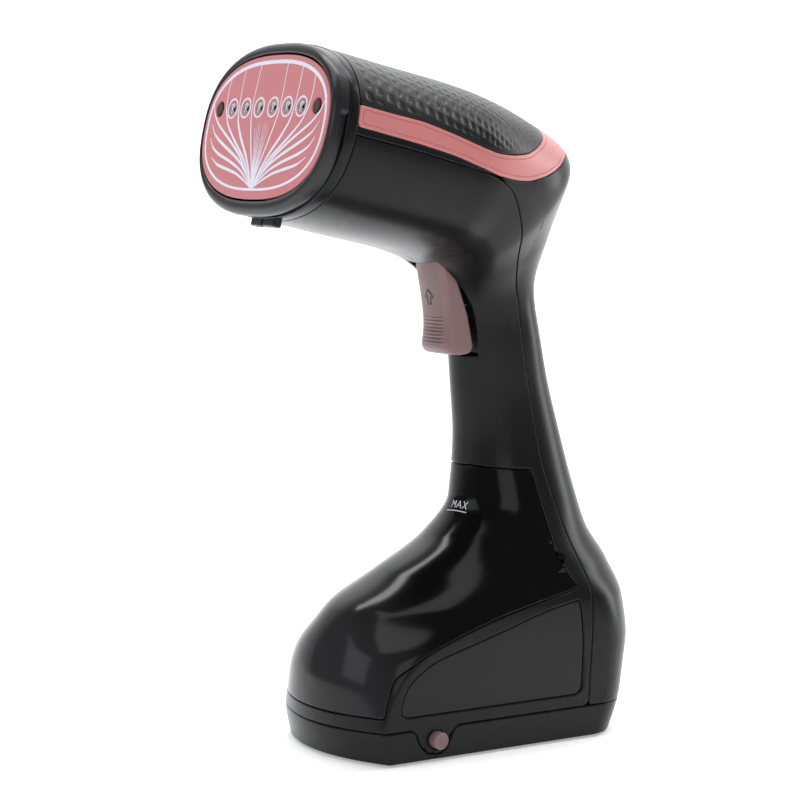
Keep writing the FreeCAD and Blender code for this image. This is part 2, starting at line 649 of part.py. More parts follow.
tray = skin.common(tray_block)
floor_plate = Part.makeBox(
    2 * SIDE_REACH, 4 * SIDE_REACH, size("tray_floor"),
    Vector(-SIDE_REACH, -2 * SIDE_REACH, size("base_foot"))
)
tray = tray.fuse(outer.common(floor_plate))
FOOT_SPOTS = [(x * 26.0, y) for y in (size("base_front") + 22, size("base_back") - 32) for x in (-1, 1)]
SCREW_LINES = (size("base_front") + 34, size("base_back") - 42)
TRAY_SCREW_SPOTS = [(x * 33.0, y) for y in SCREW_LINES for x in (-1, 1)]
foot_seat = size("base_foot") + size("foot_sunk")
feet = []
for x, y in FOOT_SPOTS:
    feet.append(rod(Vector(x, y, 0), Vector(0, 0, 1), size("foot_radius"), foot_seat))
    tray = tray.cut(feet[-1])
for x, y in TRAY_SCREW_SPOTS:
    low = Vector(x, y, size("base_foot"))
    tray = tray.fuse(rod(low, Vector(0, 0, 1), size("boss_radius"), size("tray_seam")))
    tray = tray.cut(rod(low, Vector(0, 0, 1), HEAD_BORE, 3.0))
    tray = tray.cut(rod(low, Vector(0, 0, 1), size("screw_radius"), 40))
for x in (-1, 1):
    stop = Part.makeBox(2.0, 12.0, BUTTON_Z + 5, Vector(x * 27.0 - 1.0, BUTTON_Y - 6, size("base_foot")))
    tray = tray.fuse(stop)
feature("base_tray", tray)
feature("feet", Part.makeCompound(feet))


def screw(start, direction, length):
    """A pan-head screw whose head's seat is at start."""
    shank = rod(start, direction, size("screw_radius"), length)
    head = rod(start - direction * 2.0, direction, size("screw_head"), 2.0)
    slot = rod(start - direction * 2.0, direction, size("screw_head") * 0.42, 1.1)
    return head.fuse(shank).cut(slot)


feature("tray_screws", Part.makeCompound([
    screw(Vector(x, y, size("base_foot") + 3.0), Vector(0, 0, 1), 12.0) for x, y in TRAY_SCREW_SPOTS
]))
feature("housing_screws", Part.makeCompound([
    screw(Vector(0, seat, height), Vector(0, -1, 0), seat - bar_y) for height, bar_y, seat in SCREW_SPOTS
]))

# ---------------------------------------------------------------- water tank and what is on it
tank_skin = outer.common(tank_prism(0.0))
tank_room = body_form(size("tank_wall")).common(tank_prism(-size("tank_wall")))
tank = tank_skin.cut(tank_room)
spout = rod(Vector(0, VALVE_Y - 6, VALVE_Z), BACKWARDS, size("valve_radius"), 15)
rim = rod(Vector(0, PLUG_Y - 8, PLUG_Z), BACKWARDS, size("plug_rim"), 8.5)
tank = tank.fuse([spout, rim])
tank = tank.cut(rod(Vector(0, VALVE_Y - 10, VALVE_Z), BACKWARDS, size("valve_radius") - 1.3, 40))
tank = tank.cut(rod(Vector(0, PLUG_Y - 20, PLUG_Z), BACKWARDS, size("plug_radius"), 40))
feature("tank", tank)
plug_neck = size("plug_radius") - size("seal_thick")
plug_waist = plug_neck - size("seal_thick")
turned = [(0, -6), (plug_neck, -6), (plug_neck, -3), (plug_waist, -3), (plug_waist, -1)]
turned += [(plug_neck, -1), (plug_neck, 0), (size("plug_rim"), 0), (size("plug_rim"), 1.6)]
turned += [(4.5, 1.6), (4.5, 3.2), (0, 3.2)]
plug_place = along_y(0, PLUG_Y + 0.5, PLUG_Z)
finish(turned_body("filler_plug", turned, plug_place), "filler_plug")
seal_bore = size("plug_radius") - 2 * size("seal_thick")
seal = [(seal_bore, -3), (size("plug_radius"), -3), (size("plug_radius"), -1), (seal_bore, -1)]
finish(turned_body("filler_seal", seal, plug_place), "filler_seal")
stem = size("valve_radius") - 2.2
cup_in = size("valve_radius") - 1.3
poppet = [(0, -2), (cup_in, -2), (cup_in, 0.5), (stem, 0.5), (stem, 5.5), (0, 5.5)]
finish(turned_body("tank_valve", poppet, along_y(0, VALVE_Y - 3, VALVE_Z)), "tank_valve")
socket_bore = size("valve_radius") + size("valve_gap")
socket = [(socket_bore, 0), (socket_bore + SOCKET_RIM, 0), (socket_bore + SOCKET_RIM, 1.5)]
socket += [(socket_bore + 1.6, 1.5)]
socket += [(socket_bore + 1.6, 11), (1.5, 11), (1.5, 8), (socket_bore, 8)]
socket_y = SOCKET_Y
SOCKET_END = socket_y + 11.0
finish(turned_body("valve_socket", socket, along_y(0, socket_y, VALVE_Z)), "valve_socket")

# ---------------------------------------------------------------- steam head
def head_outline(half_width, low, high, power=2.5, steps=32):
    """A closed superellipse in the head's frame, from its half width and its lowest and highest points."""
    middle, half = (low + high) / 2, (high - low) / 2
    points = []
    for step in range(steps):
        turn = 2 * math.pi * step / steps
        across = math.copysign(abs(math.cos(turn)) ** (2 / power), math.cos(turn)) * half_width
        up = math.copysign(abs(math.sin(turn)) ** (2 / power), math.sin(turn)) * half
        points.append(Vector(across, 0, middle + up))
    curve = Part.BSplineCurve()
    curve.interpolate(Points=points, PeriodicFlag=True)
    return curve.toShape()


def head_slab(half_width, low, high, start, end, power=2.5):
    """A slab of that outline, running back from start to end along the barrel."""
    face = Part.Face(Part.Wire([head_outline(half_width, low, high, power)]))
    slab = face.extrude(Vector(0, end - start, 0))
    slab.translate(Vector(0, start, 0))
    return slab


def head_box(x0, x1, y0, y1, z0, z1):
    return Part.makeBox(x1 - x0, y1 - y0, z1 - z0, Vector(x0, y0, z0))


PLATE_X, PLATE_Z = size("plate_half_width"), size("plate_half_height")
RING = size("barrel_half_height")
ROW = size("nozzle_row")
HEATER_UP = 4.0
NOZZLES = [size("nozzle_pitch") * (k - 2.5) for k in range(6)]
plate = head_slab(PLATE_X, -PLATE_Z, PLATE_Z, 0, size("plate_thick"))
for x in NOZZLES:
    plate = plate.cut(rod(Vector(x, -5, ROW), BACKWARDS, size("nozzle_radius"), 20))
for x in (-1, 1):
    hole_x = x * size("plate_screw_offset")
    plate = plate.cut(rod(Vector(hole_x, -5, ROW), BACKWARDS, size("plate_screw_hole"), 5 + 1.5))
    plate = plate.cut(rod(Vector(hole_x, -5, ROW), BACKWARDS, size("screw_radius"), 20))
feature("face_plate", plate, HEAD_FRAME)
NOZZLE_SET = 0.3
nozzle_length = size("plate_thick") + size("gasket_thick") - NOZZLE_SET
nozzles = []
for x in NOZZLES:
    tube = rod(Vector(x, NOZZLE_SET, ROW), BACKWARDS, size("nozzle_radius"), nozzle_length)
    nozzles.append(tube.cut(rod(Vector(x, -1, ROW), BACKWARDS, size("nozzle_bore"), 20)))
feature("steam_nozzles", Part.makeCompound(nozzles), HEAD_FRAME)
PLATE_SCREW_SEAT = 1.5
plate_screws = []
for x in (-1, 1):
    screw_x = x * size("plate_screw_offset")
    head = rod(Vector(screw_x, 0.3, ROW), BACKWARDS, size("screw_head"), 1.2)
    shank = rod(Vector(screw_x, PLATE_SCREW_SEAT, ROW), BACKWARDS, size("screw_radius"), 10)
    plate_screws.append(head.fuse(shank))
feature("plate_screws", Part.makeCompound(plate_screws), HEAD_FRAME)

gap = size("plate_gap")
opening = head_slab(PLATE_X + gap, -PLATE_Z - gap, PLATE_Z + gap, -1, 30)
lip, skirt, groove = size("lip"), size("skirt_back"), size("groove_back")
bezel = head_slab(size("head_half_width"), -RING, RING - 1.0, lip, groove).cut(opening)
inset = size("groove_depth")
core = head_slab(size("head_half_width") - inset, -RING + inset, RING - 1.0 - inset, lip, groove)
channel = head_box(-SIDE_REACH, SIDE_REACH, skirt, groove + 1, -SIDE_REACH, ROW - 0.7).cut(core)
bezel = bezel.cut(channel)
ring = head_slab(size("head_half_width"), -RING, RING, groove, size("ring_back"), 2.3)
ring_opening = head_slab(PLATE_X - 2.0, -RING + 4.0, RING - 4.0, 0, 30)
latch_x, latch_gap = size("latch_half_width"), size("latch_gap")
latch_front, latch_back = groove + 0.6, size("ring_back") - 0.6
latch_low = -RING - size("latch_proud")
slot_low = head_box(-latch_x - latch_gap, latch_x + latch_gap, latch_front - latch_gap,
                    latch_back + latch_gap, -RING - 10, -RING + 6)
feature("bezel", bezel, HEAD_FRAME)
feature("head_ring", ring.cut(ring_opening).cut(slot_low), HEAD_FRAME)
latch = head_box(-latch_x, latch_x, latch_front, latch_back, latch_low, -RING + 5.0)
rib_cut = head_box(-0.6, 0.6, latch_front - 1, latch_front + 0.5, latch_low - 1, -RING)
latch_hook = head_box(-latch_x + 3, latch_x - 3, latch_front, latch_back, -RING + 5.0, -RING + 7.5)
feature("accessory_latch", latch.fuse(latch_hook).cut(rib_cut), HEAD_FRAME)
SPRING_LOW = -RING + 7.5
coil_spring("latch_spring", Placement(head_point((latch_front + latch_back) / 2, SPRING_LOW + 0.5),
                                      HEAD_FRAME.Rotation), 1.7, 5.0, 4)

heater_x, heater_z = size("heater_half_width"), size("heater_half_height")
heater_front = size("plate_thick") + size("gasket_thick")
heater_bed = new_body("heater_casting_blank", in_head(heater_front, HEATER_UP))
sketch = new_sketch(heater_bed, "block_outline")
add_rectangle(sketch, "2 * Sizes.heater_half_width", "2 * Sizes.heater_half_height")
pad(heater_bed, sketch, "block", "Sizes.heater_length")
doc.recompute()
sketch = new_sketch(heater_bed, "chamber_outline")
add_rectangle(sketch, "2 * (Sizes.heater_half_width - Sizes.chamber_rim)",
              "2 * (Sizes.heater_half_height - Sizes.chamber_rim)")
pocket(heater_bed, sketch, "steam_chamber", "Sizes.chamber_depth")
doc.recompute()

# The heating element is a U of tube cast into the block behind the chamber.
ELEMENT_DEPTH = size("chamber_depth") + 12.0
element_reach = size("element_reach")
leg = size("heater_half_height") * 0.45
leg_start, leg_end = -element_reach - 16, element_reach - leg
legs = [(leg_start, -leg), (leg_end, -leg), (leg_end, leg), (leg_start, leg)]
legs = [Vector(x, z - HEATER_UP, ELEMENT_DEPTH) for x, z in legs]
bend_middle = Vector(element_reach, -HEATER_UP, ELEMENT_DEPTH)
element_path = Part.Wire([
    Part.makeLine(legs[0], legs[1]),
    Part.Arc(legs[1], bend_middle, legs[2]).toShape(),
    Part.makeLine(legs[2], legs[3]),
])
element_ring = Part.Wire(Part.makeCircle(size("element_radius"), legs[0], ACROSS))
element = element_path.makePipeShell([element_ring], True, False)
lugs, spaces = [], [element]
for x in (-1, 1):
    spot = Vector(x * size("plate_screw_offset"), -ROW, 0)
    lugs.append(rod(spot, Vector(0, 0, 1), size("boss_radius"), 9.0))
    spaces.append(rod(spot, Vector(0, 0, 1), size("screw_radius"), 9.0))
lug_pair = doc.addObject("Part::Feature", "heater_lugs")
lug_pair.Shape = Part.makeCompound(lugs)
lug_pair.Placement = in_head(heater_front, 0.0)
space = doc.addObject("Part::Feature", "element_space")
space.Shape = Part.makeCompound(spaces)
space.Placement = in_head(heater_front, 0.0)
heater_body = fused("heater_with_lugs", [heater_bed, lug_pair])
finish(boolean("Part::Cut", "heater_casting", heater_body, space), "heater_block")
feature("heating_element", element, in_head(heater_front, 0.0))
gasket_high = heater_z + 3
gasket_low, gasket_top = HEATER_UP - gasket_high, HEATER_UP + gasket_high
gasket = head_slab(heater_x + 3, gasket_low, gasket_top, size("plate_thick"), heater_front, 4.0)
rim = size("gasket_rim")
gasket_hole = head_slab(heater_x - rim, HEATER_UP - heater_z + rim, HEATER_UP + heater_z - rim, 0, 10, 4.0)
gasket = gasket.cut(gasket_hole)
for x in (-1, 1):
    screw_x = x * size("plate_screw_offset")
    gasket = gasket.cut(rod(Vector(screw_x, 0, ROW), BACKWARDS, size("screw_radius"), 20))
feature("steam_gasket", gasket, HEAD_FRAME)
heater_top = HEATER_UP + size("heater_half_height")
thermostat = primitive(
    "Part::Cylinder", "thermostat",
    {"Radius": "Sizes.thermostat_radius", "Height": "Sizes.thermostat_height"},
    Placement(head_point(heater_front + size("heater_length") / 2, heater_top), HEAD_FRAME.Rotation),
)
finish(thermostat, "thermostat")
fuse = primitive(
    "Part::Cylinder", "thermal_fuse", {"Radius": "Sizes.fuse_radius", "Height": "Sizes.fuse_length"},
    in_head(heater_front + 8, heater_top + size("fuse_radius"), 22.0),
)
finish(fuse, "thermal_fuse")

# ---------------------------------------------------------------- trigger group
trigger = new_body("trigger", Placement())
sketch = new_sketch(trigger, "trigger_side", "YZ_Plane")
add_outline(sketch, trigger_points())
pad(trigger, sketch, "trigger_block", "2 * Sizes.trigger_half_width", True)
sketch = new_sketch(trigger, "arm_side", "YZ_Plane")
pin_y, pin_z = TRIGGER_PIN.y, TRIGGER_PIN.z
arm_foot = pin_z - 24.0
arm = [(pin_y + 1.5, arm_foot), (pin_y + 7.0, arm_foot), (pin_y + 3.6, pin_z), (pin_y - 3.0, pin_z)]
add_outline(sketch, arm)
pad(trigger, sketch, "trigger_arm", "2 * Sizes.trigger_half_width - 6", True)
sketch = new_sketch(trigger, "arm_eye", "YZ_Plane")
add_circle(sketch, "Sizes.pin_boss", pin_y, pin_z)
pad(trigger, sketch, "trigger_eye", "2 * Sizes.trigger_half_width", True)
doc.recompute()
sketch = new_sketch(trigger, "pin_bore", "YZ_Plane")
add_circle(sketch, "Sizes.pin_radius + Sizes.pin_clearance", pin_y, pin_z)
trigger.Tip = pocket(trigger, sketch, "bore")
finish(trigger, "trigger")
pin = primitive("Part::Cylinder", "trigger_pin", {"Radius": "Sizes.pin_radius"},
                along_x(-PIN_REACH, TRIGGER_PIN.y, TRIGGER_PIN.z))
pin.Height = 2 * PIN_REACH
finish(pin, "trigger_pin")
SPRING_Z = BEND.z + 2.0
SPRING_FRONT = size("handle_front") + 2.5
coil_spring("trigger_spring", along_y(0, SPRING_FRONT + 1.5, SPRING_Z), 3.0, 12.0, 6)
switch_y, switch_z = size("handle_front") + 3.1, BEND.z + 22.0
case = Part.makeBox(12, 10, 20, Vector(-6, switch_y, switch_z - 10))
PLUNGER, PLUNGER_REACH = 3.0, 4.3
plunger = Part.makeBox(
    PLUNGER, PLUNGER_REACH, PLUNGER,
    Vector(-PLUNGER / 2, switch_y - PLUNGER_REACH, switch_z - PLUNGER / 2)
)
feature("microswitch", case.fuse(plunger))

# ---------------------------------------------------------------- release buttons
WALL_FACE = size("base_half_width") - WALL
cap, flange_wide = size("button_radius"), size("button_radius") + size("button_flange")
button_length = WALL + size("button_proud")
button = [(0, -1.6), (flange_wide, -1.6), (flange_wide, 0), (cap, 0)]
button += [(cap, button_length - 0.6), (cap - 0.6, button_length), (0, button_length)]
for side, hand in ((-1, "left"), (1, "right")):
    outwards = Rotation(Vector(0, 1, 0), side * 90)
    place = Placement(Vector(side * (WALL_FACE - 0.1), BUTTON_Y, BUTTON_Z), outwards)
    finish(turned_body("release_button_" + hand, button, place), "release_button_" + hand)
    stop_face = 28.0
    spring_room = WALL_FACE - 0.1 - 1.6 - stop_face
    start = Placement(Vector(side * (stop_face + 0.5), BUTTON_Y, BUTTON_Z), outwards)
    coil_spring("button_spring_" + hand, start, 2.6, spring_room - 1.0, 6)

# ---------------------------------------------------------------- pump, board, hoses and leads
FLOOR_TOP = size("base_foot") + size("tray_floor")
pump_y, pump_z = size("base_front") + 78, FLOOR_TOP + size("pump_radius") + 1.0
pump = rod(Vector(0, pump_y, pump_z), BACKWARDS, size("pump_radius"), size("pump_length"))
pump = pump.fuse(Part.makeBox(20, 30, size("pump_radius") + 1, Vector(-10, pump_y + 8, FLOOR_TOP)))
hose_bore, hose_wall = size("hose_bore"), size("hose_radius")
spigots = [rod(Vector(0, pump_y - 8, pump_z), BACKWARDS, hose_bore, 8)]
spigots.append(rod(Vector(0, pump_y + size("pump_length"), pump_z), BACKWARDS, hose_bore, 8))
feature("water_pump", pump.fuse(spigots))
board_x = size("base_half_width") - WALL - 6.0
board = Part.makeBox(size("board_thick"), size("board_length"), size("board_width") * 0.7,
                     Vector(-board_x, size("base_front") + 62, FLOOR_TOP + 3))
parts_on_board = [
    Part.makeBox(9, 14, 12, Vector(-board_x + size("board_thick"), size("base_front") + 68, FLOOR_TOP + 8)),
    rod(Vector(-board_x + size("board_thick"), size("base_front") + 95, FLOOR_TOP + 14), ACROSS, 4.0, 9),
    Part.makeBox(6, 10, 10, Vector(-board_x + size("board_thick"), size("base_front") + 106, FLOOR_TOP + 8)),
]
feature("control_board", board.fuse(parts_on_board))

HEATER_BACK = heater_front + size("heater_length")
hose_bend = 9.0
pump_end = pump_y + size("pump_length")
outlet = [Vector(0, pump_end + 1, pump_z), Vector(0, pump_end + 14, pump_z), Vector(-10, pump_end + 16, 40)]
outlet += [Vector(-10, 66, 80), Vector(-8, 62, neck_z(110.0))]
outlet += [Vector(-8, size("handle_front") + 35.5, BEND.z - 5)]
outlet += [Vector(-6, size("handle_front") + 27.5, BEND.z + 42), head_point(HEATER_BACK + 55, 0.0)]
outlet += [head_point(HEATER_BACK, 0.0)]
tube_along("outlet_hose", outlet, hose_wall, hose_bore, hose_bend)
inlet = [Vector(0, SOCKET_END, VALVE_Z), Vector(0, SOCKET_END + 12, VALVE_Z), Vector(14, SOCKET_END + 9, 46)]
inlet += [Vector(14, pump_y - 20, 42), Vector(0, pump_y - 24, pump_z), Vector(0, pump_y - 1, pump_z)]
tube_along("inlet_hose", inlet, hose_wall, hose_bore, hose_bend)
leads = [Vector(-board_x + 12, size("base_front") + 98, FLOOR_TOP + 30), Vector(8, 66, 44)]
leads += [Vector(8, 66, 84), Vector(8, 61, neck_z(110.0)), Vector(6, size("handle_front") + 34, BEND.z - 5)]
leads += [Vector(6, size("handle_front") + 27.5, BEND.z + 42), head_point(HEATER_BACK + 52, -8.0, 16.0)]
leads += [head_point(HEATER_BACK + 0.5, -8.0, 22.0)]
tube_along("heater_leads", leads, size("lead_radius"), 0, hose_bend)

# ---------------------------------------------------------------- check and export
doc.recompute()
for item in doc.Objects:
    if "Invalid" in item.State or "Error" in item.State:
        raise RuntimeError("%s failed to build: %s" % (item.Name, item.State))
for piece in SUB_PARTS:
    if piece.Shape.isNull() or not piece.Shape.isValid() or piece.Shape.Volume <= 0:
        raise RuntimeError("%s has no sound shape" % piece.Label)
for piece in SUB_PARTS:
    piece.Shape.exportStep("parts/%s.step" % piece.Label)
    print("%-22s solids %d  volume %9.1f mm3" % (piece.Label, len(piece.Shape.Solids), piece.Shape.Volume))
print(len(SUB_PARTS), "sub-parts")
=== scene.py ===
# %% [markdown]
# # A handheld garment steamer
# The frame is loaded first. Every new piece below is worked out in the frame's own metres, so it goes
# where the frame says with no fitting.

# %% Load the frame
import json
import bpy
import numpy as np
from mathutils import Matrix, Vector


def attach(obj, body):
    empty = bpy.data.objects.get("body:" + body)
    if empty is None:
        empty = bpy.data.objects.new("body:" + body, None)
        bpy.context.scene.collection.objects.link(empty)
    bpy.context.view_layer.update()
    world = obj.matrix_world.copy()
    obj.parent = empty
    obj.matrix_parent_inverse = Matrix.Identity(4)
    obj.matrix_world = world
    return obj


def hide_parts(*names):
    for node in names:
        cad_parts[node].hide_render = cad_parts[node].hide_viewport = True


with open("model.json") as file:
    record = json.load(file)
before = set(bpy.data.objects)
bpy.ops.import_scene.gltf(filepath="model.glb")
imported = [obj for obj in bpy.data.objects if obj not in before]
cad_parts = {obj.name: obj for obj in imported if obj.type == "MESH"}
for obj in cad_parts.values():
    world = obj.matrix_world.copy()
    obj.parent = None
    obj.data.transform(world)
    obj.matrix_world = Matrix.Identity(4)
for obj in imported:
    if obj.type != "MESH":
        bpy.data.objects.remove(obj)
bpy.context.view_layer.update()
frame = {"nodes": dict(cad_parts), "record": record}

MM = 0.001

# %% [markdown]
# The body is one soft form: a base with a blunt nose, a slim neck, a bend and a barrel that leans back by
# 13 degrees. A form like this is easiest to hold as a stack of flat sections along a spine. Each section
# knows its front point, its back point, its half-width, how long its two rounded ends are, and how square
# they are. Between the rows a curve that never overshoots gives all the sections in between, so the
# whole skin is a function of two numbers: how far along the spine, and how far round the section.

# %% The head's frame and the sections
TILT = np.radians(13.0)
HEAD_BACK = np.array([0.0, np.cos(TILT), -np.sin(TILT)])
HEAD_UP = np.array([0.0, np.sin(TILT), np.cos(TILT)])
ACROSS = np.array([1.0, 0.0, 0.0])
BASE_HALF, HEAD_HALF = 44.5, 57.7
BARREL_HALF, BEND_RADIUS, HEAD_LENGTH, RING_BACK = 39.5, 38.0, 82.5, 14.0
BEND = np.array([0.0, -27.5, 190.0])
PLATE = BEND + HEAD_UP * (BEND_RADIUS + BARREL_HALF) - HEAD_BACK * HEAD_LENGTH


def head_point(along, up, side=0.0):
    """A point in the head's own frame: along runs back from the plate, up leans with the head."""
    along, up, side = np.broadcast_arrays(*np.atleast_1d(along, up, side))
    return PLATE + along[..., None] * HEAD_BACK + up[..., None] * HEAD_UP + side[..., None] * ACROSS


# Base and neck rows: height, front y, back y, half-width, front cap, back cap, cap powers.
LEVEL_ROWS = [
    (1, -65.0, 85.5, 44.5, 12.7, 25, 1.0, 2.0), (16, -68.0, 92.0, 44.5, 13.5, 26, 1.0, 2.0),
    (32, -67.5, 95.5, 44.5, 19.0, 28, 1.4, 2.0), (48, -63.5, 98.0, 44.24, 33.0, 31, 2.0, 2.1),
    (64, -54.0, 97.0, 43.2, 66.0, 36, 2.0, 2.1), (80, -28.5, 91.5, 38.26, 75.0, 44, 2.0, 2.1),
    (96, 0.0, 81.5, 31.24, 40.0, 38, 2.0, 2.1), (112, 12.3, 76.0, 25.5, 30.0, 30, 2.0, 2.1),
    (140, 13.5, 68.3, 20.06, 30.0, 30, 2.0, 2.1), (165, 11.8, 61.3, 18.5, 30.0, 30, 2.0, 2.1),
]
# Bend rows: turn in degrees, depth of the section, half-width.
TURN_ROWS = [(0, 44.8, 18.5), (15, 44.1, 19.68), (30, 59.2, 29.08), (42, 83.1, 43.2), (58, 80.8, 52.6)]


def spine_rows():
    """Every row as front y and z, back y and z, half-width, front cap, back cap and the two powers."""
    rows = [(f, z, b, z, w, cf, cb, mt, mx) for z, f, b, w, cf, cb, mt, mx in LEVEL_ROWS]
    for turn, depth, width in TURN_ROWS:
        ray = np.array([0.0, np.cos(np.radians(turn)), np.sin(np.radians(turn))])
        low, high = BEND + ray * BEND_RADIUS, BEND + ray * (BEND_RADIUS + depth)
        rows.append((low[1], low[2], high[1], high[2], width, 60, 60, 2.2, 2.2))
    for along in (HEAD_LENGTH, HEAD_LENGTH / 2, RING_BACK):
        low, high = head_point(along, -BARREL_HALF)[0], head_point(along, BARREL_HALF)[0]
        rows.append((low[1], low[2], high[1], high[2], HEAD_HALF, 60, 60, 2.3, 2.3))
    table = np.array(rows, float)
    length = np.hypot(table[:, 2] - table[:, 0], table[:, 3] - table[:, 1])
    share = np.minimum(1.0, (length - 2.0) / (table[:, 5] + table[:, 6]))
    table[:, 5] *= share
    table[:, 6] *= share
    return table


ROWS = spine_rows()
MIDDLES = (ROWS[:, 0:2] + ROWS[:, 2:4]) / 2
PLACES = np.concatenate([[0.0], np.cumsum(np.linalg.norm(np.diff(MIDDLES, axis=0), axis=1))])
SPINE_LENGTH = PLACES[-1]


def glide(places, values, at):
    """A cubic through the rows; its slopes are harmonic means of the chords, so it never swings past."""
    gaps = np.diff(places)
    chords = np.diff(values, axis=0) / gaps[:, None]
    product = chords[:-1] * chords[1:]
    total = np.where(product > 0, chords[:-1] + chords[1:], 1.0)
    inner = np.where(product > 0, 2 * product / total, 0.0)
    slopes = np.concatenate([chords[:1], inner, chords[-1:]])
    span = np.clip(np.searchsorted(places, at, side="right") - 1, 0, len(gaps) - 1)
    gap = gaps[span][:, None]
    share = ((at - places[span]) / gaps[span])[:, None]
    rise, fall = share ** 2 * (3 - 2 * share), share * (1 - share)
    level = values[span] + (values[span + 1] - values[span]) * rise
    return level + gap * fall * (slopes[span] * (1 - share) - slopes[span + 1] * share)


def body_surface(spine, around):
    """Points of the skin for spine distances (rows) and shares round the section (columns).

    Round the section the share runs 0 to 0.35 over the front end, to 0.65 along the straight side and to
    1 over the back end; the sign of the share is the side. An end follows across = w sin^(2/n) and
    along = reach (1 - cos^(2/m)), a straight side runs level between the two ends.
    """
    row = glide(PLACES, ROWS, spine)
    front, back = row[:, None, 0:2], row[:, None, 2:4]
    width, cap_f, cap_b, power_t, power_x = (row[:, None, k] for k in range(4, 9))
    length = np.linalg.norm(back - front, axis=-1)
    share = np.abs(around)[None, :]
    round_f = np.clip(power_t - 1, 0, 1)
    step_f, step_b = np.clip(share / 0.35, 0, 1), np.clip((1 - share) / 0.35, 0, 1)
    turn_f = round_f * np.pi / 2 * step_f + (1 - round_f) * np.arcsin(step_f)
    turn_b = np.pi / 2 * step_b
    power_b = np.maximum(power_t, 2.0)
    along_f = cap_f * (1 - np.cos(turn_f).clip(0) ** (2 / power_t))
    along_b = length - cap_b * (1 - np.cos(turn_b).clip(0) ** (2 / power_b))
    middle = cap_f + (length - cap_f - cap_b) * np.clip((share - 0.35) / 0.3, 0, 1)
    along = np.where(share < 0.35, along_f, np.where(share > 0.65, along_b, middle))
    sine = np.where(share < 0.35, np.sin(turn_f), np.where(share > 0.65, np.sin(turn_b), 1.0))
    side = width * sine ** (2 / power_x) * np.sign(around)[None, :]
    axis = (back - front) / length[..., None]
    side_view = front + along[..., None] * axis
    return np.concatenate([side[..., None], side_view], axis=-1)


print("spine %.1f mm long, plate centre at %s" % (SPINE_LENGTH, np.round(PLATE, 1)))

# %% [markdown]
# The housing is cut into its mouldings along seams. Seen from the side each seam is a line, so a piece of
# skin is simply the part of the surface where a signed distance to that line is positive. A mesh can be
# cut that way very cleanly: each triangle that a level of the distance crosses is split there. Splitting
# at a few levels close to the seam also leaves rows of points to round the moulding's edge with, which
# is what makes a seam catch the light. The last step gives the skin its thickness: an inner copy of every
# point, and a rim that joins the two along the open edges.

# %% Mesh tools: split, clip, round an edge and thicken
def triangles_of(rows, columns, closed=False):
    """Triangle indices of a grid of points, faces turned outwards for a grid that runs up and around."""
    i, j = np.meshgrid(np.arange(rows - 1), np.arange(columns if closed else columns - 1), indexing="ij")
    a, b = i * columns + j, i * columns + (j + 1) % columns
    c, d = a + columns, b + columns
    return np.concatenate([np.stack([a, b, d], -1).reshape(-1, 3), np.stack([a, d, c], -1).reshape(-1, 3)])


def split_at(points, data, tris, field, level):
    """Split every triangle that field = level crosses; points, data and field gain the new corners."""
    value = field - level
    value = np.where(np.abs(value) < 1e-6, 1e-6, value)
    sign = value[tris] > 0
    crossed = sign.any(1) & ~sign.all(1)
    kept, cut = tris[~crossed], tris[crossed]
    if len(cut) == 0:
        return points, data, tris, field
    cut_sign = sign[crossed]
    lone = np.where(cut_sign.sum(1) == 1, cut_sign.argmax(1), (~cut_sign).argmax(1))
    order = (lone[:, None] + np.arange(3)) % 3
    a, b, c = (cut[np.arange(len(cut)), order[:, k]] for k in range(3))
    edges = np.sort(np.concatenate([np.stack([a, b], 1), np.stack([a, c], 1)]), axis=1)
    unique, back = np.unique(edges, axis=0, return_inverse=True)
    back = back.reshape(-1)
    low, high = value[unique[:, 0]], value[unique[:, 1]]
    share = (low / (low - high))[:, None]
    fresh = points[unique[:, 0]] * (1 - share) + points[unique[:, 1]] * share
    extra = data[unique[:, 0]] * (1 - share) + data[unique[:, 1]] * share
    start = len(points)
    ab, ac = start + back[: len(a)], start + back[len(a):]
    new = [np.stack([a, ab, ac], 1), np.stack([ab, b, c], 1), np.stack([ab, c, ac], 1)]
    field_new = np.full(len(unique), level, float)
    return (np.concatenate([points, fresh]), np.concatenate([data, extra]),
            np.concatenate([kept] + new), np.concatenate([field, field_new]))


def keep_where(points, data, tris, field, level=0.0):
    """Drop the triangles below a level that was split already, and the points nobody uses."""
    middle = field[tris].mean(1)
    tris = tris[middle > level]
    used, back = np.unique(tris, return_inverse=True)
    return points[used], data[used], back.reshape(-1, 3), field[used]


def edge_distance(points, normals, field, gradient):
    """Side-view distance turned into distance on the surface, which leans away from the side view."""
    lean = (gradient * normals).sum(1)
    return field / np.sqrt(np.clip(1 - lean ** 2, 0.08, 1.0))


def rounded(distance, radius):
    """Depth of a rounded edge: a quarter circle of that radius, 0 beyond it."""
    near = np.clip(radius - distance, 0, radius)
    return radius - np.sqrt(np.clip(radius ** 2 - near ** 2, 0, None))


def grid_normals(grid, closed=False):
    """Outward normals of a grid of points, from the slopes along its rows and columns."""
    wide = np.concatenate([grid[:, -2:], grid, grid[:, :2]], axis=1) if closed else grid
    normal = np.cross(np.gradient(wide, axis=1), np.gradient(wide, axis=0))
    normal = unit(normal)
    return normal[:, 2:-2] if closed else normal


def unit(vectors):
    """The same directions, each one long."""
    return vectors / np.maximum(np.linalg.norm(vectors, axis=-1, keepdims=True), 1e-12)


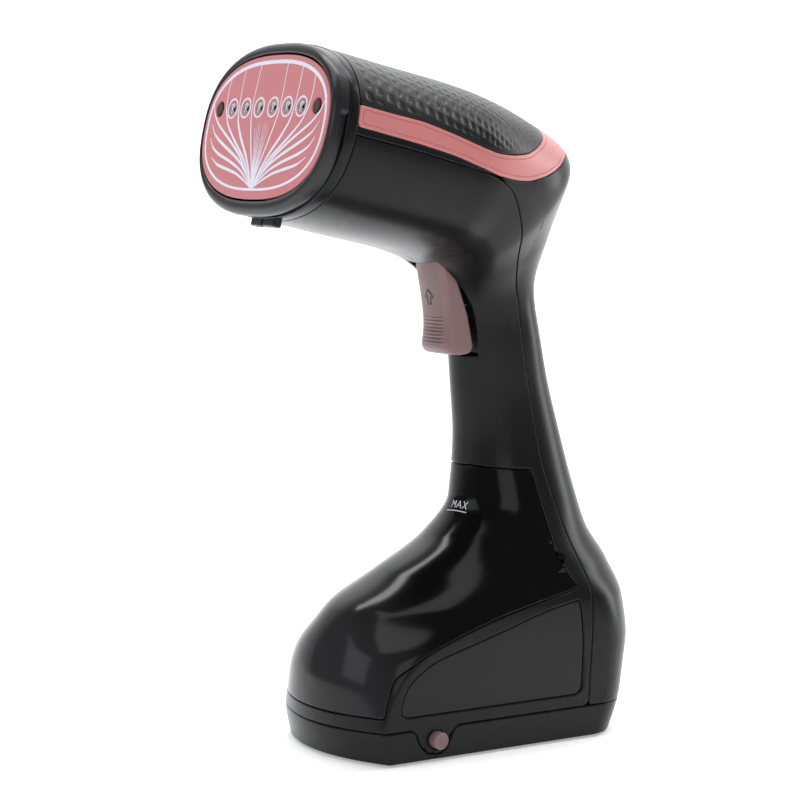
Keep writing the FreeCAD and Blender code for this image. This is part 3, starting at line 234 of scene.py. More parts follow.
def thicken(points, tris, inner):
    """Close an open skin: its inner copy turned over, and a rim along every open edge."""
    count = len(points)
    sides = np.concatenate([tris[:, [0, 1]], tris[:, [1, 2]], tris[:, [2, 0]]])
    _, back, seen = np.unique(np.sort(sides, axis=1), axis=0, return_inverse=True, return_counts=True)
    rim = sides[seen[back.reshape(-1)] == 1]
    a, b = rim[:, 0], rim[:, 1]
    band = np.concatenate([np.stack([b, a, a + count], 1), np.stack([b, a + count, b + count], 1)])
    return np.concatenate([points, inner]), np.concatenate([tris, tris[:, ::-1] + count, band]), len(band)


def face_normals(points, tris):
    """One normal per triangle."""
    a, b, c = points[tris[:, 0]], points[tris[:, 1]], points[tris[:, 2]]
    return unit(np.cross(b - a, c - a))


def mesh_piece(name, points_mm, tris, corners=None, sharp=40):
    """A mesh object at the origin from points in millimetres, with its own corner normals if given."""
    mesh = bpy.data.meshes.new(name)
    mesh.vertices.add(len(points_mm))
    mesh.vertices.foreach_set("co", (points_mm * MM).astype(np.float32).ravel())
    mesh.loops.add(len(tris) * 3)
    mesh.loops.foreach_set("vertex_index", tris.astype(np.int32).ravel())
    mesh.polygons.add(len(tris))
    mesh.polygons.foreach_set("loop_start", np.arange(0, len(tris) * 3, 3, dtype=np.int32))
    mesh.update(calc_edges=True)
    mesh.shade_smooth()
    if corners is None:
        mesh.set_sharp_from_angle(angle=np.radians(sharp))
    else:
        mesh.normals_split_custom_set(corners.astype(np.float32).tolist())
    piece = bpy.data.objects.new(name, mesh)
    bpy.context.scene.collection.objects.link(piece)
    print("%s: %d points, %d triangles" % (name, len(points_mm), len(tris)))
    return piece


def moulding(points, normals, tris, field, way, wall, radius=0.7, gap=0.12, inset=0.0, line=None):
    """A moulding cut from a skin: trimmed where the field is 0, its edge rounded, its wall closed.

    Near the trimmed edge the skin sinks along its normal by a quarter circle of the edge radius, and the
    shading normal turns with it from the skin's own normal to straight out of the edge. A line is a V-shaped
    groove at a distance inside the edge, given as (distance, half-width, depth).
    """
    distance = edge_distance(points, normals, field, way) - gap
    data = np.concatenate([normals, way], axis=1)
    for share in (0.0, 0.1, 0.3, 0.6, 1.0):
        points, data, tris, distance = split_at(points, data, tris, distance, share * radius)
    if line:
        for share in (-1.0, -0.5, 0.0, 0.5, 1.0):
            points, data, tris, distance = split_at(points, data, tris, distance, line[0] + share * line[1])
    points, data, tris, distance = keep_where(points, data, tris, distance)
    normals = unit(data[:, :3])
    edge_way = data[:, 3:] - normals * (data[:, 3:] * normals).sum(1, keepdims=True)
    edge_way = unit(edge_way)
    sine = np.clip((radius - distance) / radius, 0, 1)[:, None]
    bent = unit(normals * np.sqrt(np.clip(1 - sine ** 2, 0, 1)) - edge_way * sine)
    sunk = rounded(distance, radius) + inset
    if line:
        off = (distance - line[0]) / line[1]
        sunk = sunk + line[2] * np.clip(1 - np.abs(off), 0, 1)
        slope = np.where(np.abs(off) < 0.95, -np.clip(off * 2, -1, 1), 0.0)
        bent = unit(bent + edge_way * (slope * line[2] / line[1])[:, None])
    outer = points - normals * sunk[:, None]
    return close_skin(outer, bent, tris, points - normals * (wall + inset), -normals)


def close_skin(outer, shading, tris, inner, inner_shading):
    """Points, triangles and corner normals of a skin closed by its inner copy and its rim."""
    closed, faces, rim_count = thicken(outer, tris, inner)
    flat = face_normals(closed, faces[len(faces) - rim_count:])
    corners = np.concatenate([shading[tris].reshape(-1, 3), inner_shading[tris[:, ::-1]].reshape(-1, 3),
                              np.repeat(flat, 3, axis=0)])
    return closed, faces, corners


def joined(parts):
    """Several closed meshes as one: points, triangles and corner normals one after another."""
    start, points, tris, corners = 0, [], [], []
    for some_points, some_tris, some_corners in parts:
        points.append(some_points)
        tris.append(some_tris + start)
        corners.append(some_corners)
        start += len(some_points)
    return np.concatenate(points), np.concatenate(tris), np.concatenate(corners)


# %% [markdown]
# The seams are short lists of points in the side view, smoothed into curves. One function measures how
# far every point of the skin is from such an outline, with the sign telling inside from outside, and
# which way the distance grows. Regions combine by taking the smaller of two distances.

# %% Seam outlines and signed distances in the side view
def smooth_line(points, steps=12):
    """A curve through the points (each span is a cubic whose ends lean along their neighbours' chord)."""
    p = np.asarray(points, float)
    slope = np.gradient(p, axis=0)
    share = np.linspace(0, 1, steps, endpoint=False)[:, None, None]
    a, b, da, db = p[None, :-1], p[None, 1:], slope[None, :-1], slope[None, 1:]
    rise = share ** 2 * (3 - 2 * share)
    chord = b - a
    bow = (1 - share) * (da - chord) - share * (db - chord)
    curve = a + chord * rise + share * (1 - share) * bow
    return np.concatenate([curve.transpose(1, 0, 2).reshape(-1, 2), p[-1:]])


def region(outline, points):
    """Signed side-view distance to a closed outline (positive inside) and the direction it grows in."""
    p = points[:, 1:3]
    a = np.asarray(outline, float)
    b = np.roll(a, -1, axis=0)
    best = np.full(len(p), 1e9)
    nearest = np.zeros_like(p)
    inside = np.zeros(len(p), bool)
    for start, end in zip(a, b):
        run = end - start
        share = np.clip(((p - start) @ run) / max(run @ run, 1e-12), 0, 1)
        spot = start + share[:, None] * run
        gap = np.linalg.norm(p - spot, axis=1)
        closer = gap < best
        best, nearest = np.where(closer, gap, best), np.where(closer[:, None], spot, nearest)
        above = (start[1] > p[:, 1]) != (end[1] > p[:, 1])
        rise = end[1] - start[1] if end[1] != start[1] else 1e-12
        inside ^= above & (p[:, 0] < (end[0] - start[0]) * (p[:, 1] - start[1]) / rise + start[0])
    sign = np.where(inside, 1.0, -1.0)
    way = sign[:, None] * (p - nearest) / np.maximum(best, 1e-9)[:, None]
    gradient = np.concatenate([np.zeros((len(p), 1)), way], axis=1)
    return best * sign, gradient


def both(first, second):
    """Where two regions overlap: the smaller distance, with its own direction."""
    nearer = first[0] < second[0]
    return np.where(nearer, first[0], second[0]), np.where(nearer[:, None], first[1], second[1])


def outside(one):
    """The region turned inside out."""
    return -one[0], -one[1]


def side_of(points3):
    """Side-view (y, z) of head points."""
    return [tuple(point[1:3]) for point in points3]


FRONT, BACK = -68.0, 98.0
TRAY_SEAM = 15.5
BUTTON_Y, BUTTON_Z = FRONT + 41.0, 10.0
TANK_SEAM = smooth_line([(-54.5, 20.0), (-54.2, 22.0), (-52.0, 30.0), (-48.0, 39.0), (-40.0, 44.0),
                         (-28.0, 50.0), (-8.5, 56.7), (11.0, 62.2), (31.5, 66.6), (50.0, 70.2)]).tolist()
TANK_SEAM = [p for p in TANK_SEAM if p[1] > 22.05]
TANK_BACK = smooth_line([(53.2, 71.6), (53.6, 73.4), (50.3, 78.7), (47.0, 89.4), (45.2, 102.3),
                         (43.5, 112.9), (41.5, 122.5), (40.6, 125.0), (38.6, 125.9)]).tolist()
TANK_OUTLINE = ([(-120.0, 22.0), (-54.5, 22.0)] + TANK_SEAM + TANK_BACK
                + [(27.7, 126.4), (10.0, 128.4), (-10.0, 131.5), (-120.0, 145.0)])
SEAM_A = side_of(head_point([4, 48, 80, 92, 103, 119], [-1.0, -0.8, -1.8, -3.0, -8.0, -24.5]))
SEAM_A += [(33, 207.6), (37.3, 186), (41.7, 161), (45.3, 139), (47.5, 124.8)]
SEAM_A += [(51.7, 107), (57, 86), (60.5, 72), (60, 50), (58.5, 30), (57.5, 10)]
REAR_OUTLINE = smooth_line(SEAM_A).tolist() + [(160, 10), (160, 420), (-120, 420)]
BAND_TOP = side_of(head_point([5, 30, 47, 64, 78, 88, 98, 107, 114, 122, 131],
                              [12.5, 12.6, 12.8, 11.2, 9.3, 8.5, 9.9, 12.7, 16.8, 23.0, 33.0]))
BAND_FOOT = side_of(head_point([5, 30, 48, 66, 80, 90, 100, 110, 120, 129, 140, 150],
                               [2.7, 2.7, 2.5, 1.7, 0.0, -1.2, -1.0, 0.7, 4.9, 10.5, 20.0, 31.0]))
COVER_OUTLINE = smooth_line(BAND_TOP).tolist() + side_of(head_point([190, 5], [150, 150]))
ABOVE_BAND = smooth_line(BAND_FOOT).tolist() + side_of(head_point([210, 5], [150, 150]))
TRAY_OUTLINE = [(-160, TRAY_SEAM), (BUTTON_Y - 13.4, TRAY_SEAM)]
TRAY_OUTLINE += smooth_line([(BUTTON_Y - 12.6, 15.2), (BUTTON_Y - 10.5, 12.6), (BUTTON_Y - 9.2, 9.2),
                             (BUTTON_Y - 5.5, 4.9), (BUTTON_Y, 3.5), (BUTTON_Y + 5, 5.5),
                             (BUTTON_Y + 8.5, 12.6), (BUTTON_Y + 11.2, 15.2)]).tolist()
TRAY_OUTLINE += [(BUTTON_Y + 12, TRAY_SEAM), (200, TRAY_SEAM), (200, -20), (-160, -20)]
PANEL_OUTLINE = smooth_line([(-43.0, 21.5), (-45.6, 23.3), (-45.0, 28.6), (-40.5, 36.7), (-28, 44.8),
                             (-9, 50.3), (11, 55.7), (24, 59.6), (38, 63.0), (50.5, 65.1),
                             (53.6, 63.4), (54.7, 45.7),
                             (53.4, 25.0), (50.5, 21.5)]).tolist()
SEAM_SIZES = (len(TANK_OUTLINE), len(REAR_OUTLINE), len(COVER_OUTLINE))
print("seams ready: tank %d, rear %d, cover %d points" % SEAM_SIZES)

# %% [markdown]
# One fine grid serves for the whole housing. Its rows climb the spine, its columns go once round. The
# distances to all the outlines are measured on it once, and then each moulding is a choice of regions:
# the tank is inside its outline, the rear shell is behind the shell seam and outside the tank, the tray
# and everything above the pink band, and so on. What is left of the skin after all those is the front
# shell.
# Where a section's straight part is nearly nothing, its points bunch up and a normal there can come out
# wrong, so a normal far from its neighbours' mean takes that mean instead.

# %% The housing's skin and its mouldings
ROW_COUNT, ROUND_COUNT = 272, 250
spine = np.linspace(0, SPINE_LENGTH - 1e-6, ROW_COUNT)
around = -1 + 2 * np.arange(ROUND_COUNT) / ROUND_COUNT
skin_grid = body_surface(spine, around)
SKIN = skin_grid.reshape(-1, 3)
skin_normals = grid_normals(skin_grid, closed=True)
rows_near = [np.clip(np.arange(ROW_COUNT) + step, 0, ROW_COUNT - 1) for step in (-3, -2, 2, 3)]
steady = unit(sum(skin_normals[rows] for rows in rows_near))
stray = (skin_normals * steady).sum(axis=-1) < 0.7
stray[:6] = False
skin_normals[stray] = steady[stray]
print("%d stray normals replaced by their neighbours' mean" % stray.sum())
SKIN_NORMALS = skin_normals.reshape(-1, 3)
SKIN_TRIS = triangles_of(ROW_COUNT, ROUND_COUNT, closed=True)
SKIN_NORMALS[:ROUND_COUNT] = SKIN_NORMALS[ROUND_COUNT:2 * ROUND_COUNT]


def circle_region(points, centre, radius, axes, where):
    """Distance inside a round hole seen along the axis that axes leaves out, only where it applies."""
    away = points[:, axes] - centre
    far = np.linalg.norm(away, axis=1)
    way = np.zeros_like(points)
    way[:, axes] = -away / np.maximum(far, 1e-9)[:, None]
    return np.where(where, radius - far, -1e3), way


def plane_region(points, origin, direction):
    """Distance past a plane along its direction."""
    way = np.broadcast_to(direction, points.shape).copy()
    return (points - origin) @ direction, way


TRIGGER_HALF = 12.0


def trigger_profile():
    """The trigger's front and back outlines as (height, y) tables, from the bottom up."""
    front = np.array([(179.6, 6.3), (179.9, 3.6), (180.9, 1.7), (182.8, 0.6), (185.0, 0.4), (188.0, 0.9),
                      (192.5, 1.3), (197.0, 1.2), (202.5, 0.6), (209.0, -0.4), (214.0, -1.4), (219.0, -2.2),
                      (224.5, -3.1), (225.5, -3.2)])
    rear = np.array([(179.6, 6.3), (180.2, 11.5), (181.2, 13.4), (183.7, 14.4), (190.6, 13.0), (198.4, 11.2),
                     (206.2, 8.3), (212.2, 6.1), (217.2, 3.3), (220.7, 0.6), (224.7, -0.6), (225.5, -0.7)])
    return front, rear


tank_in = region(TANK_OUTLINE, SKIN)
rear_in = region(REAR_OUTLINE, SKIN)
cover_in = region(COVER_OUTLINE, SKIN)
band_up = region(ABOVE_BAND, SKIN)
tray_in = region(TRAY_OUTLINE, SKIN)
panel_in = region(PANEL_OUTLINE, SKIN)
head_end = plane_region(SKIN, head_point(RING_BACK, 0.0)[0], HEAD_BACK)
floor_end = plane_region(SKIN, np.array([0.0, 0.0, 1.0]), np.array([0.0, 0.0, 1.0]))
button_in = circle_region(SKIN, np.array([BUTTON_Y, BUTTON_Z]), 4.2, [1, 2], np.abs(SKIN[:, 0]) > 20)
rear_side = SKIN[:, 1] > 40
gland_in = circle_region(SKIN, np.array([0.0, 27.5]), 5.6, [0, 2], rear_side)
cup_low = circle_region(SKIN, np.array([0.0, 92.0]), 3.0, [0, 2], rear_side)
cup_high = circle_region(SKIN, np.array([0.0, 150.0]), 3.0, [0, 2], rear_side)
slot_x = (TRIGGER_HALF + 0.4 - np.abs(SKIN[:, 0]), -np.sign(SKIN[:, :1]) * ACROSS)
sweep = [(y + (230.0 - z) * np.sin(np.radians(6.0)) + 0.5, z) for z, y in trigger_profile()[1][1:]]
ahead = [(y - 4.0, z) for z, y in trigger_profile()[0][::-1]]
SLOT_OUTLINE = [(sweep[0][0], 179.2)] + sweep + ahead + [(-3.4, 179.2)]
slot_in = both(slot_x, region(SLOT_OUTLINE, SKIN))


def all_of(*regions):
    """The part of the skin inside every one of the regions."""
    result = regions[0]
    for one in regions[1:]:
        result = both(result, one)
    return result


def cut_skin(name, wall, *regions, **extra):
    """A moulding of the housing's skin as a mesh object."""
    field, way = all_of(*regions)
    return mesh_piece(name, *moulding(SKIN, SKIN_NORMALS, SKIN_TRIS, field, way, wall, **extra))


upper_limit = outside(band_up)
front_shell = cut_skin("front_shell_skin", 2.0, outside(rear_in), upper_limit, outside(tank_in),
                       outside(tray_in), outside(panel_in), outside(slot_in), outside(button_in), head_end)
rear_shell = cut_skin("rear_shell_skin", 2.0, rear_in, upper_limit, outside(tank_in), outside(tray_in),
                      outside(gland_in), outside(cup_low), outside(cup_high), head_end)
pink_band = cut_skin("pink_band_strip", 2.0, band_up, outside(cover_in), head_end, radius=0.6,
                     line=(1.9, 0.3, 0.45))
tray_skin = all_of(tray_in, floor_end)
tank = cut_skin("tank_vessel", 2.0, tank_in, radius=0.8, gap=0.18)
side_panels = []
for hand, sign in (("left", -1.0), ("right", 1.0)):
    half = plane_region(SKIN, np.zeros(3), sign * ACROSS)
    side_panels.append(cut_skin("side_panel_" + hand + "_skin", 1.2, panel_in, half, inset=0.4, radius=0.6))

# %% [markdown]
# The tray is the foot of the same skin, with a floor inside it. The floor follows the skin's lowest ring.

# %% The base tray with its floor
tray_parts = [moulding(SKIN, SKIN_NORMALS, SKIN_TRIS, tray_skin[0], tray_skin[1], 2.2, radius=0.8)]
ring = skin_grid[0] * np.array([0.985, 1.0, 1.0])
ring[:, 1] = (ring[:, 1] - 10.0) * 0.985 + 10.0
shares = np.linspace(0.02, 1.0, 24)[:, None, None]
centre = np.array([0.0, 10.0, 0.0])
disc = centre + (ring[None] - centre) * np.concatenate([shares, shares, shares * 0 + 1], axis=2)
disc_low, disc_high = disc.copy(), disc.copy()
disc_low[..., 2], disc_high[..., 2] = 1.2, 3.4
flat_tris = triangles_of(len(shares), ROUND_COUNT, closed=True)
lowest = disc_low.reshape(-1, 3)
down = np.broadcast_to([0.0, 0.0, -1.0], lowest.shape)
if face_normals(lowest, flat_tris)[:, 2].mean() > 0:
    flat_tris = flat_tris[:, ::-1]
tray_parts.append(close_skin(lowest, down, flat_tris, disc_high.reshape(-1, 3), -down))
base_tray = mesh_piece("base_tray_skin", *joined(tray_parts))

# %% [markdown]
# The top cover carries rows of shallow rounded dimples. A dimple is a place where the surface sinks by a
# smooth bump: its depth falls from full to nothing between two sizes of a rounded square. The dimples are
# large and well apart near the front and get smaller and closer towards the back, so their number along
# the barrel follows a curve, and every second row is shifted by half a pitch.

# %% The dimpled top cover
COVER_ROWS, COVER_COLUMNS = 236, 330
cover_spine = np.linspace(SPINE_LENGTH * 0.60, SPINE_LENGTH - 1e-6, COVER_ROWS)
arc = np.linspace(-1, 1, COVER_COLUMNS) * 0.47
cover_around = np.where(arc >= 0, 1 - arc, -1 - arc)[::-1].copy()
cover_grid = body_surface(cover_spine, cover_around)
cover_normals = grid_normals(cover_grid)


def dimple_depth(points):
    """Depth of the dimples, in mm, from how far back a point is and how far round the barrel."""
    steps = np.gradient(points, axis=1)
    girth = np.cumsum(np.linalg.norm(steps, axis=-1), axis=1)
    girth = girth - girth[:, [points.shape[1] // 2]]
    run = np.concatenate([np.zeros((1, points.shape[1])),
                          np.cumsum(np.linalg.norm(np.diff(points, axis=0), axis=-1), axis=0)])
    run = (run[-1] - run)[:, [points.shape[1] // 2]]
    pitch = 5.6 - 2.9 * np.clip((run - 8) / 95, 0, 1)
    lane = np.cumsum(np.gradient(run[::-1, 0]) / pitch[::-1, 0])[::-1][:, None]
    row_number = np.round(lane)
    across_pitch = 6.6 - 2.6 * np.clip((run - 8) / 95, 0, 1)
    column = girth / across_pitch + 0.5 * (row_number % 2)
    u = np.abs(column - np.round(column)) * across_pitch
    w = np.abs(lane - row_number) * pitch
    half_u, half_w = across_pitch * 0.33, pitch * 0.30
    shape = ((u / half_u) ** 3 + (w / half_w) ** 3) ** (1 / 3)
    depth = np.clip((1.12 - shape) / 0.45, 0, 1)
    depth = depth * depth * (3 - 2 * depth)
    return depth


depth = dimple_depth(cover_grid)
cover_points = cover_grid.reshape(-1, 3)
cover_edge = region(COVER_OUTLINE, cover_points)
cover_front = plane_region(cover_points, head_point(RING_BACK, 0.0)[0], HEAD_BACK)
clear = np.clip((np.minimum(cover_edge[0], cover_front[0]) - 2.2) / 1.0, 0, 1).reshape(depth.shape)
sunk = cover_grid - cover_normals * (depth * clear * 0.22)[..., None]
cover_tris = triangles_of(COVER_ROWS, COVER_COLUMNS)
field, way = both(cover_edge, cover_front)
cover_mesh = moulding(sunk.reshape(-1, 3), grid_normals(sunk).reshape(-1, 3), cover_tris, field, way, 1.8,
                      radius=0.6)
top_cover = mesh_piece("top_cover_skin", *cover_mesh)

# %% [markdown]
# The steam head is built in its own leaning frame and turned into place at the end. The plate is a
# superellipse with a slight crown, cut from a flat grid with the same tools; its holes are regions left
# out. The bezel and the ring are closed profiles carried round between two superellipses.

# %% The face plate, the bezel and the ring
HEAD_AXES = np.array([ACROSS, HEAD_BACK, HEAD_UP])
PLATE_X, PLATE_V, PLATE_POWER = 55.0, 32.5, 2.5
NOZZLE_V, NOZZLE_PITCH, END_X = 8.7, 12.35, 43.5
NOZZLE_X = NOZZLE_PITCH * (np.arange(6) - 2.5)


def to_head(points, tris, corners=None):
    """Local head coordinates (across, back, up) turned into the frame's."""
    return PLATE + points @ HEAD_AXES, tris, None if corners is None else corners @ HEAD_AXES


def oval(turn, half_x, half_v, middle=0.0, power=PLATE_POWER):
    """Points of a superellipse: x = a cos^(2/n), v = b sin^(2/n), with the signs of cos and sin."""
    c, s = np.cos(turn), np.sin(turn)
    return (np.sign(c) * np.abs(c) ** (2 / power) * half_x,
            middle + np.sign(s) * np.abs(s) ** (2 / power) * half_v)


def crown(x, v):
    """How far the plate's front falls back: nothing at its centre and 0.6 mm at its edge."""
    reach = (np.abs(x / PLATE_X) ** PLATE_POWER + np.abs(v / PLATE_V) ** PLATE_POWER) ** (1 / PLATE_POWER)
    return 0.6 * reach ** 2, reach


xs, vs = np.meshgrid(np.linspace(-57, 57, 150), np.linspace(-34.5, 34.5, 92))
fall, reach = crown(xs, vs)
plate_grid = np.stack([xs, fall, vs], axis=-1)
plate_points = plate_grid.reshape(-1, 3)
plate_normals = grid_normals(plate_grid).reshape(-1, 3)
slope_v, slope_x = np.gradient(reach, vs[:, 0], xs[0])
steep = np.maximum(np.hypot(slope_x, slope_v), 1e-6).ravel()
plate_way = np.stack([-slope_x.ravel() / steep, 0 * steep, -slope_v.ravel() / steep], axis=1)
plate_field = ((1 - reach).ravel() / steep, plate_way)
everywhere = np.ones(len(plate_points), bool)
holes = [outside(circle_region(plate_points, np.array([x, NOZZLE_V]), 2.9, [0, 2], everywhere))
         for x in NOZZLE_X]
holes += [outside(circle_region(plate_points, np.array([x, NOZZLE_V]), 3.65, [0, 2], everywhere))
          for x in (-END_X, END_X)]
field, way = all_of(plate_field, *holes)
plate_mesh = moulding(plate_points, plate_normals, triangles_of(92, 150), field, way, 2.2, radius=0.5,
                      gap=0.0)
face_plate = mesh_piece("face_plate_cover", *to_head(*plate_mesh))


def carried_ring(name, profile, inner, outer, count=220, groove=None):
    """A closed profile of (back, share) points carried round; share goes from inner to outer oval."""
    turn = np.linspace(0, 2 * np.pi, count, endpoint=False)
    turn = turn + 0.12 * np.sin(4 * turn + np.pi)
    ix, iv = oval(turn, *inner)
    ox, ov = oval(turn, *outer)
    back, share = np.array(profile).T
    x = ix[None] + (ox - ix)[None] * share[:, None]
    v = iv[None] + (ov - iv)[None] * share[:, None]
    b = np.broadcast_to(back[:, None], x.shape)
    if groove is not None:
        inward = unit(np.stack([-ox * 0.35, -ov], axis=-1))
        cut = groove(b, v) * np.clip(share[:, None] * 4 - 3, 0, 1)
        x, v = x + inward[None, :, 0] * cut, v + inward[None, :, 1] * cut
    points = np.stack([x, b, v], axis=-1)
    rows = len(profile)
    tris = triangles_of(rows + 1, count, closed=True)
    tris = np.where(tris >= rows * count, tris - rows * count, tris)
    flat = points.reshape(-1, 3)
    out = face_normals(flat, tris)
    middle = flat[tris].mean(axis=1)
    front = middle[:, 1] < back.min() + 0.4
    if out[front, 1].mean() > 0:
        tris = tris[:, ::-1]
    return mesh_piece(name, *to_head(flat, tris)[:2], sharp=32)


def bezel_groove(back, up):
    """Depth of the groove round the bezel's lower half."""
    low = 1 - np.clip((up - NOZZLE_V + 2.2) / 1.2, 0, 1)
    deep = np.clip((back - 4.6) / 0.4, 0, 1)
    return 2.0 * low * low * (3 - 2 * low) * deep


BEZEL_PROFILE = [(8.4, 0.0), (4.0, 0.0), (1.6, 0.0), (1.0, 0.03), (0.62, 0.09), (0.42, 0.18), (0.36, 0.30),
                 (0.42, 0.44), (0.62, 0.58), (0.98, 0.72), (1.5, 0.84), (2.2, 0.93), (3.1, 0.98), (4.2, 1.0),
                 (4.6, 1.0), (4.7, 1.0), (4.8, 1.0), (4.9, 1.0), (5.0, 1.0), (6.0, 1.0), (7.0, 1.0),
                 (8.0, 1.0), (8.4, 1.0)]
bezel = carried_ring("bezel_skin", BEZEL_PROFILE, (55.7, 33.2, 0.0), (57.7, 39.0, -0.5), groove=bezel_groove)
RING_PROFILE = [(8.6, 0.0), (8.52, 0.4), (8.52, 0.80), (8.58, 0.90), (8.72, 0.965), (8.95, 1.0), (11.0, 1.0),
                (13.3, 1.0), (13.6, 0.985), (13.82, 0.95), (13.9, 0.85), (13.9, 0.0)]
head_ring = carried_ring("head_ring_skin", RING_PROFILE, (54.7, 36.5, 0.0, 2.3), (57.7, 39.5, 0.0, 2.3))

# %% [markdown]
# The print on the plate is a fan of tapering strokes that grow from one point near the bottom, inside a
# closed outline, with a ring round each steam hole. A stroke is a flat strip along a smooth curve: its
# width is a function of how far along it is. The strips lie a few hundredths of a millimetre proud of the
# plate and follow its crown.

# %% The printed fan
APEX = (0.0, -27.9)
STROKES = [
    ([(2.2, -20.5), (5.3, -12.7), (8.4, -5.0), (11.2, 2.8), (12.45, 9.0), (12.4, 17.0), (11.8, 28.7)],
     [1.2, 1.5, 1.5, 1.4, 1.2, 0.9, 0.8, 0.7]),
    ([(4.8, -20.0), (10.6, -12.4), (17.6, -5.0), (23.0, 2.2), (24.9, 8.9), (25.6, 17.0), (25.5, 27.2)],
     [1.0, 1.7, 2.3, 2.5, 1.8, 1.1, 0.8, 0.7]),
    ([(5.8, -20.5), (12.9, -13.5), (23.3, -6.1), (32.4, 1.3), (36.9, 8.6), (38.0, 16.0), (37.3, 24.2)],
     [0.9, 1.4, 2.0, 2.1, 1.6, 1.1, 0.9, 0.7]),
    ([(7.0, -21.0), (16.2, -12.9), (28.7, -5.5), (41.0, 1.2), (47.3, 6.6), (50.6, 13.0)],
     [0.9, 1.4, 2.0, 2.1, 1.8, 1.2, 0.6]),
    ([(6.0, -22.2), (13.5, -16.6), (22.7, -12.2), (35.5, -7.0), (43.5, -2.9), (48.6, 2.2)],
     [0.9, 1.3, 1.8, 2.3, 2.3, 1.5, 0.15]),
    ([(6.2, -23.6), (13.5, -19.4), (24.5, -15.5), (35.8, -12.3), (43.0, -9.0), (47.4, -4.6)],
     [0.8, 1.2, 1.7, 2.2, 2.2, 1.5, 0.15]),
    ([(8.0, -24.2), (17.0, -21.0), (28.0, -18.7), (36.0, -16.9), (43.0, -13.6)],
     [0.8, 1.4, 2.0, 2.3, 1.9, 0.15]),
]
FINE_TOPS = [(-6.3, -0.2), (-4.6, 1.6), (-3.0, 2.0), (-1.4, 1.2), (1.2, 1.4), (2.8, 2.2), (4.4, 1.8),
             (6.2, 0.2)]
print_parts = []


def strip(path, widths, closed=False, surface=None, lift=0.05):
    """A thin closed strip along a curve on a surface given as a function (x, v) -> depth back."""
    path, widths = np.asarray(path, float), np.asarray(widths, float)
    along = np.roll(path, -1, axis=0) - np.roll(path, 1, axis=0) if closed else np.gradient(path, axis=0)
    across = unit(np.stack([-along[:, 1], along[:, 0]], axis=1)) * widths[:, None] / 2
    lanes = np.linspace(1, -1, 4)[:, None, None]
    flat = (path[None] + across[None] * lanes).transpose(1, 0, 2)
    depth = surface(flat[..., 0], flat[..., 1])
    front = np.stack([flat[..., 0], depth - lift, flat[..., 1]], axis=-1)
    rows = len(path)
    tris = triangles_of(rows + 1 if closed else rows, 4)
    tris = np.where(tris >= rows * 4, tris - rows * 4, tris)
    outer = front.reshape(-1, 3)
    inner = outer + np.array([0.0, lift + 0.04, 0.0])
    if face_normals(outer, tris)[:, 1].mean() > 0:
        tris = tris[:, ::-1]
    facing = np.broadcast_to([0.0, -1.0, 0.0], outer.shape)
    return close_skin(outer, facing, tris, inner, -facing)


def on_plate(x, v):
    """How far back the plate's front is at a spot: the crown's fall."""
    return crown(x, v)[0]


for side in (-1.0, 1.0):
    for spots, widths in STROKES:
        line = smooth_line([APEX] + spots, 10) * np.array([side, 1.0])
        width = np.interp(np.linspace(0, 1, len(line)), np.linspace(0, 1, len(widths)), widths)
        print_parts.append(strip(line, width * 0.62, surface=on_plate, lift=0.05 + 0.002 * len(print_parts)))
for x, v in FINE_TOPS:
    line = smooth_line([APEX, (x * 0.30, -19.0), (x * 0.62, -9.0), (x, v)], 12)
    width = np.interp(np.linspace(0, 1, len(line)), [0, 0.4, 0.75, 1.0], [0.6, 0.5, 0.28, 0.1])
    print_parts.append(strip(line, width, surface=on_plate, lift=0.05 + 0.002 * len(print_parts)))
turn = np.linspace(0, 2 * np.pi, 360, endpoint=False)
ox, ov = oval(turn, 52.1, 28.75, 0.55)
print_parts.append(strip(np.stack([ox, ov], 1), 1.45 + 0.3 * np.sin(turn), closed=True, surface=on_plate))
for x in NOZZLE_X:
    circle = np.stack([x + 4.35 * np.cos(turn[::6]), NOZZLE_V + 4.35 * np.sin(turn[::6])], axis=1)
    print_parts.append(strip(circle, np.full(60, 0.8), closed=True, surface=on_plate, lift=0.06))
plate_print = mesh_piece("plate_print", *to_head(*joined(print_parts)))

# %% [markdown]
# The trigger is a stack of rounded sections from its foot to its top. Its front face bulges by 3 mm across
# its width, as a parabola, and a row of fine ribs crosses the lower part of the face.

# %% The trigger
CROWN = 3.0


def trigger_section(height, turn):
    """A rounded rectangle between the front and back outlines, shrinking in a quarter circle at the foot."""
    front, rear = trigger_profile()
    y_front = np.interp(height, front[:, 0], front[:, 1])
    y_rear = np.interp(height, rear[:, 0], rear[:, 1])
    low = np.clip((2.0 - (height - 179.6)) / 2.0, 0, 1)
    shrink = 1.2 * (1 - np.sqrt(1 - low ** 2))
    half_x, half_y = TRIGGER_HALF - shrink, np.maximum((y_rear - y_front) / 2 - shrink * 0.2, 0.05)
    middle = (y_front + y_rear) / 2
    c, s = np.cos(turn), np.sin(turn)
    power = 10.0
    x = np.sign(c) * np.abs(c) ** (2 / power) * half_x[:, None]
    y = middle[:, None] + np.sign(s) * np.abs(s) ** (2 / power) * half_y[:, None]
    front_face = np.clip((-s - 0.5) * 4, 0, 1)
    swell = np.sqrt(np.clip((height - 179.6) / 4.0, 0, 1))[:, None]
    y = y - front_face * swell * CROWN * (1 - (x / TRIGGER_HALF) ** 2)
    ribs = np.clip(np.cos((height - 185.3) * 2 * np.pi / 1.65), -0.2, 1)
    within = np.clip((height - 184.4) / 0.3, 0, 1) * np.clip((197.2 - height) / 0.3, 0, 1)
    across = np.clip((8.0 - np.abs(x)) / 0.5, 0, 1)
    y = y - front_face * (ribs * within)[:, None] * across * 0.34
    return np.stack([x, y, np.broadcast_to(height[:, None], x.shape)], axis=-1)


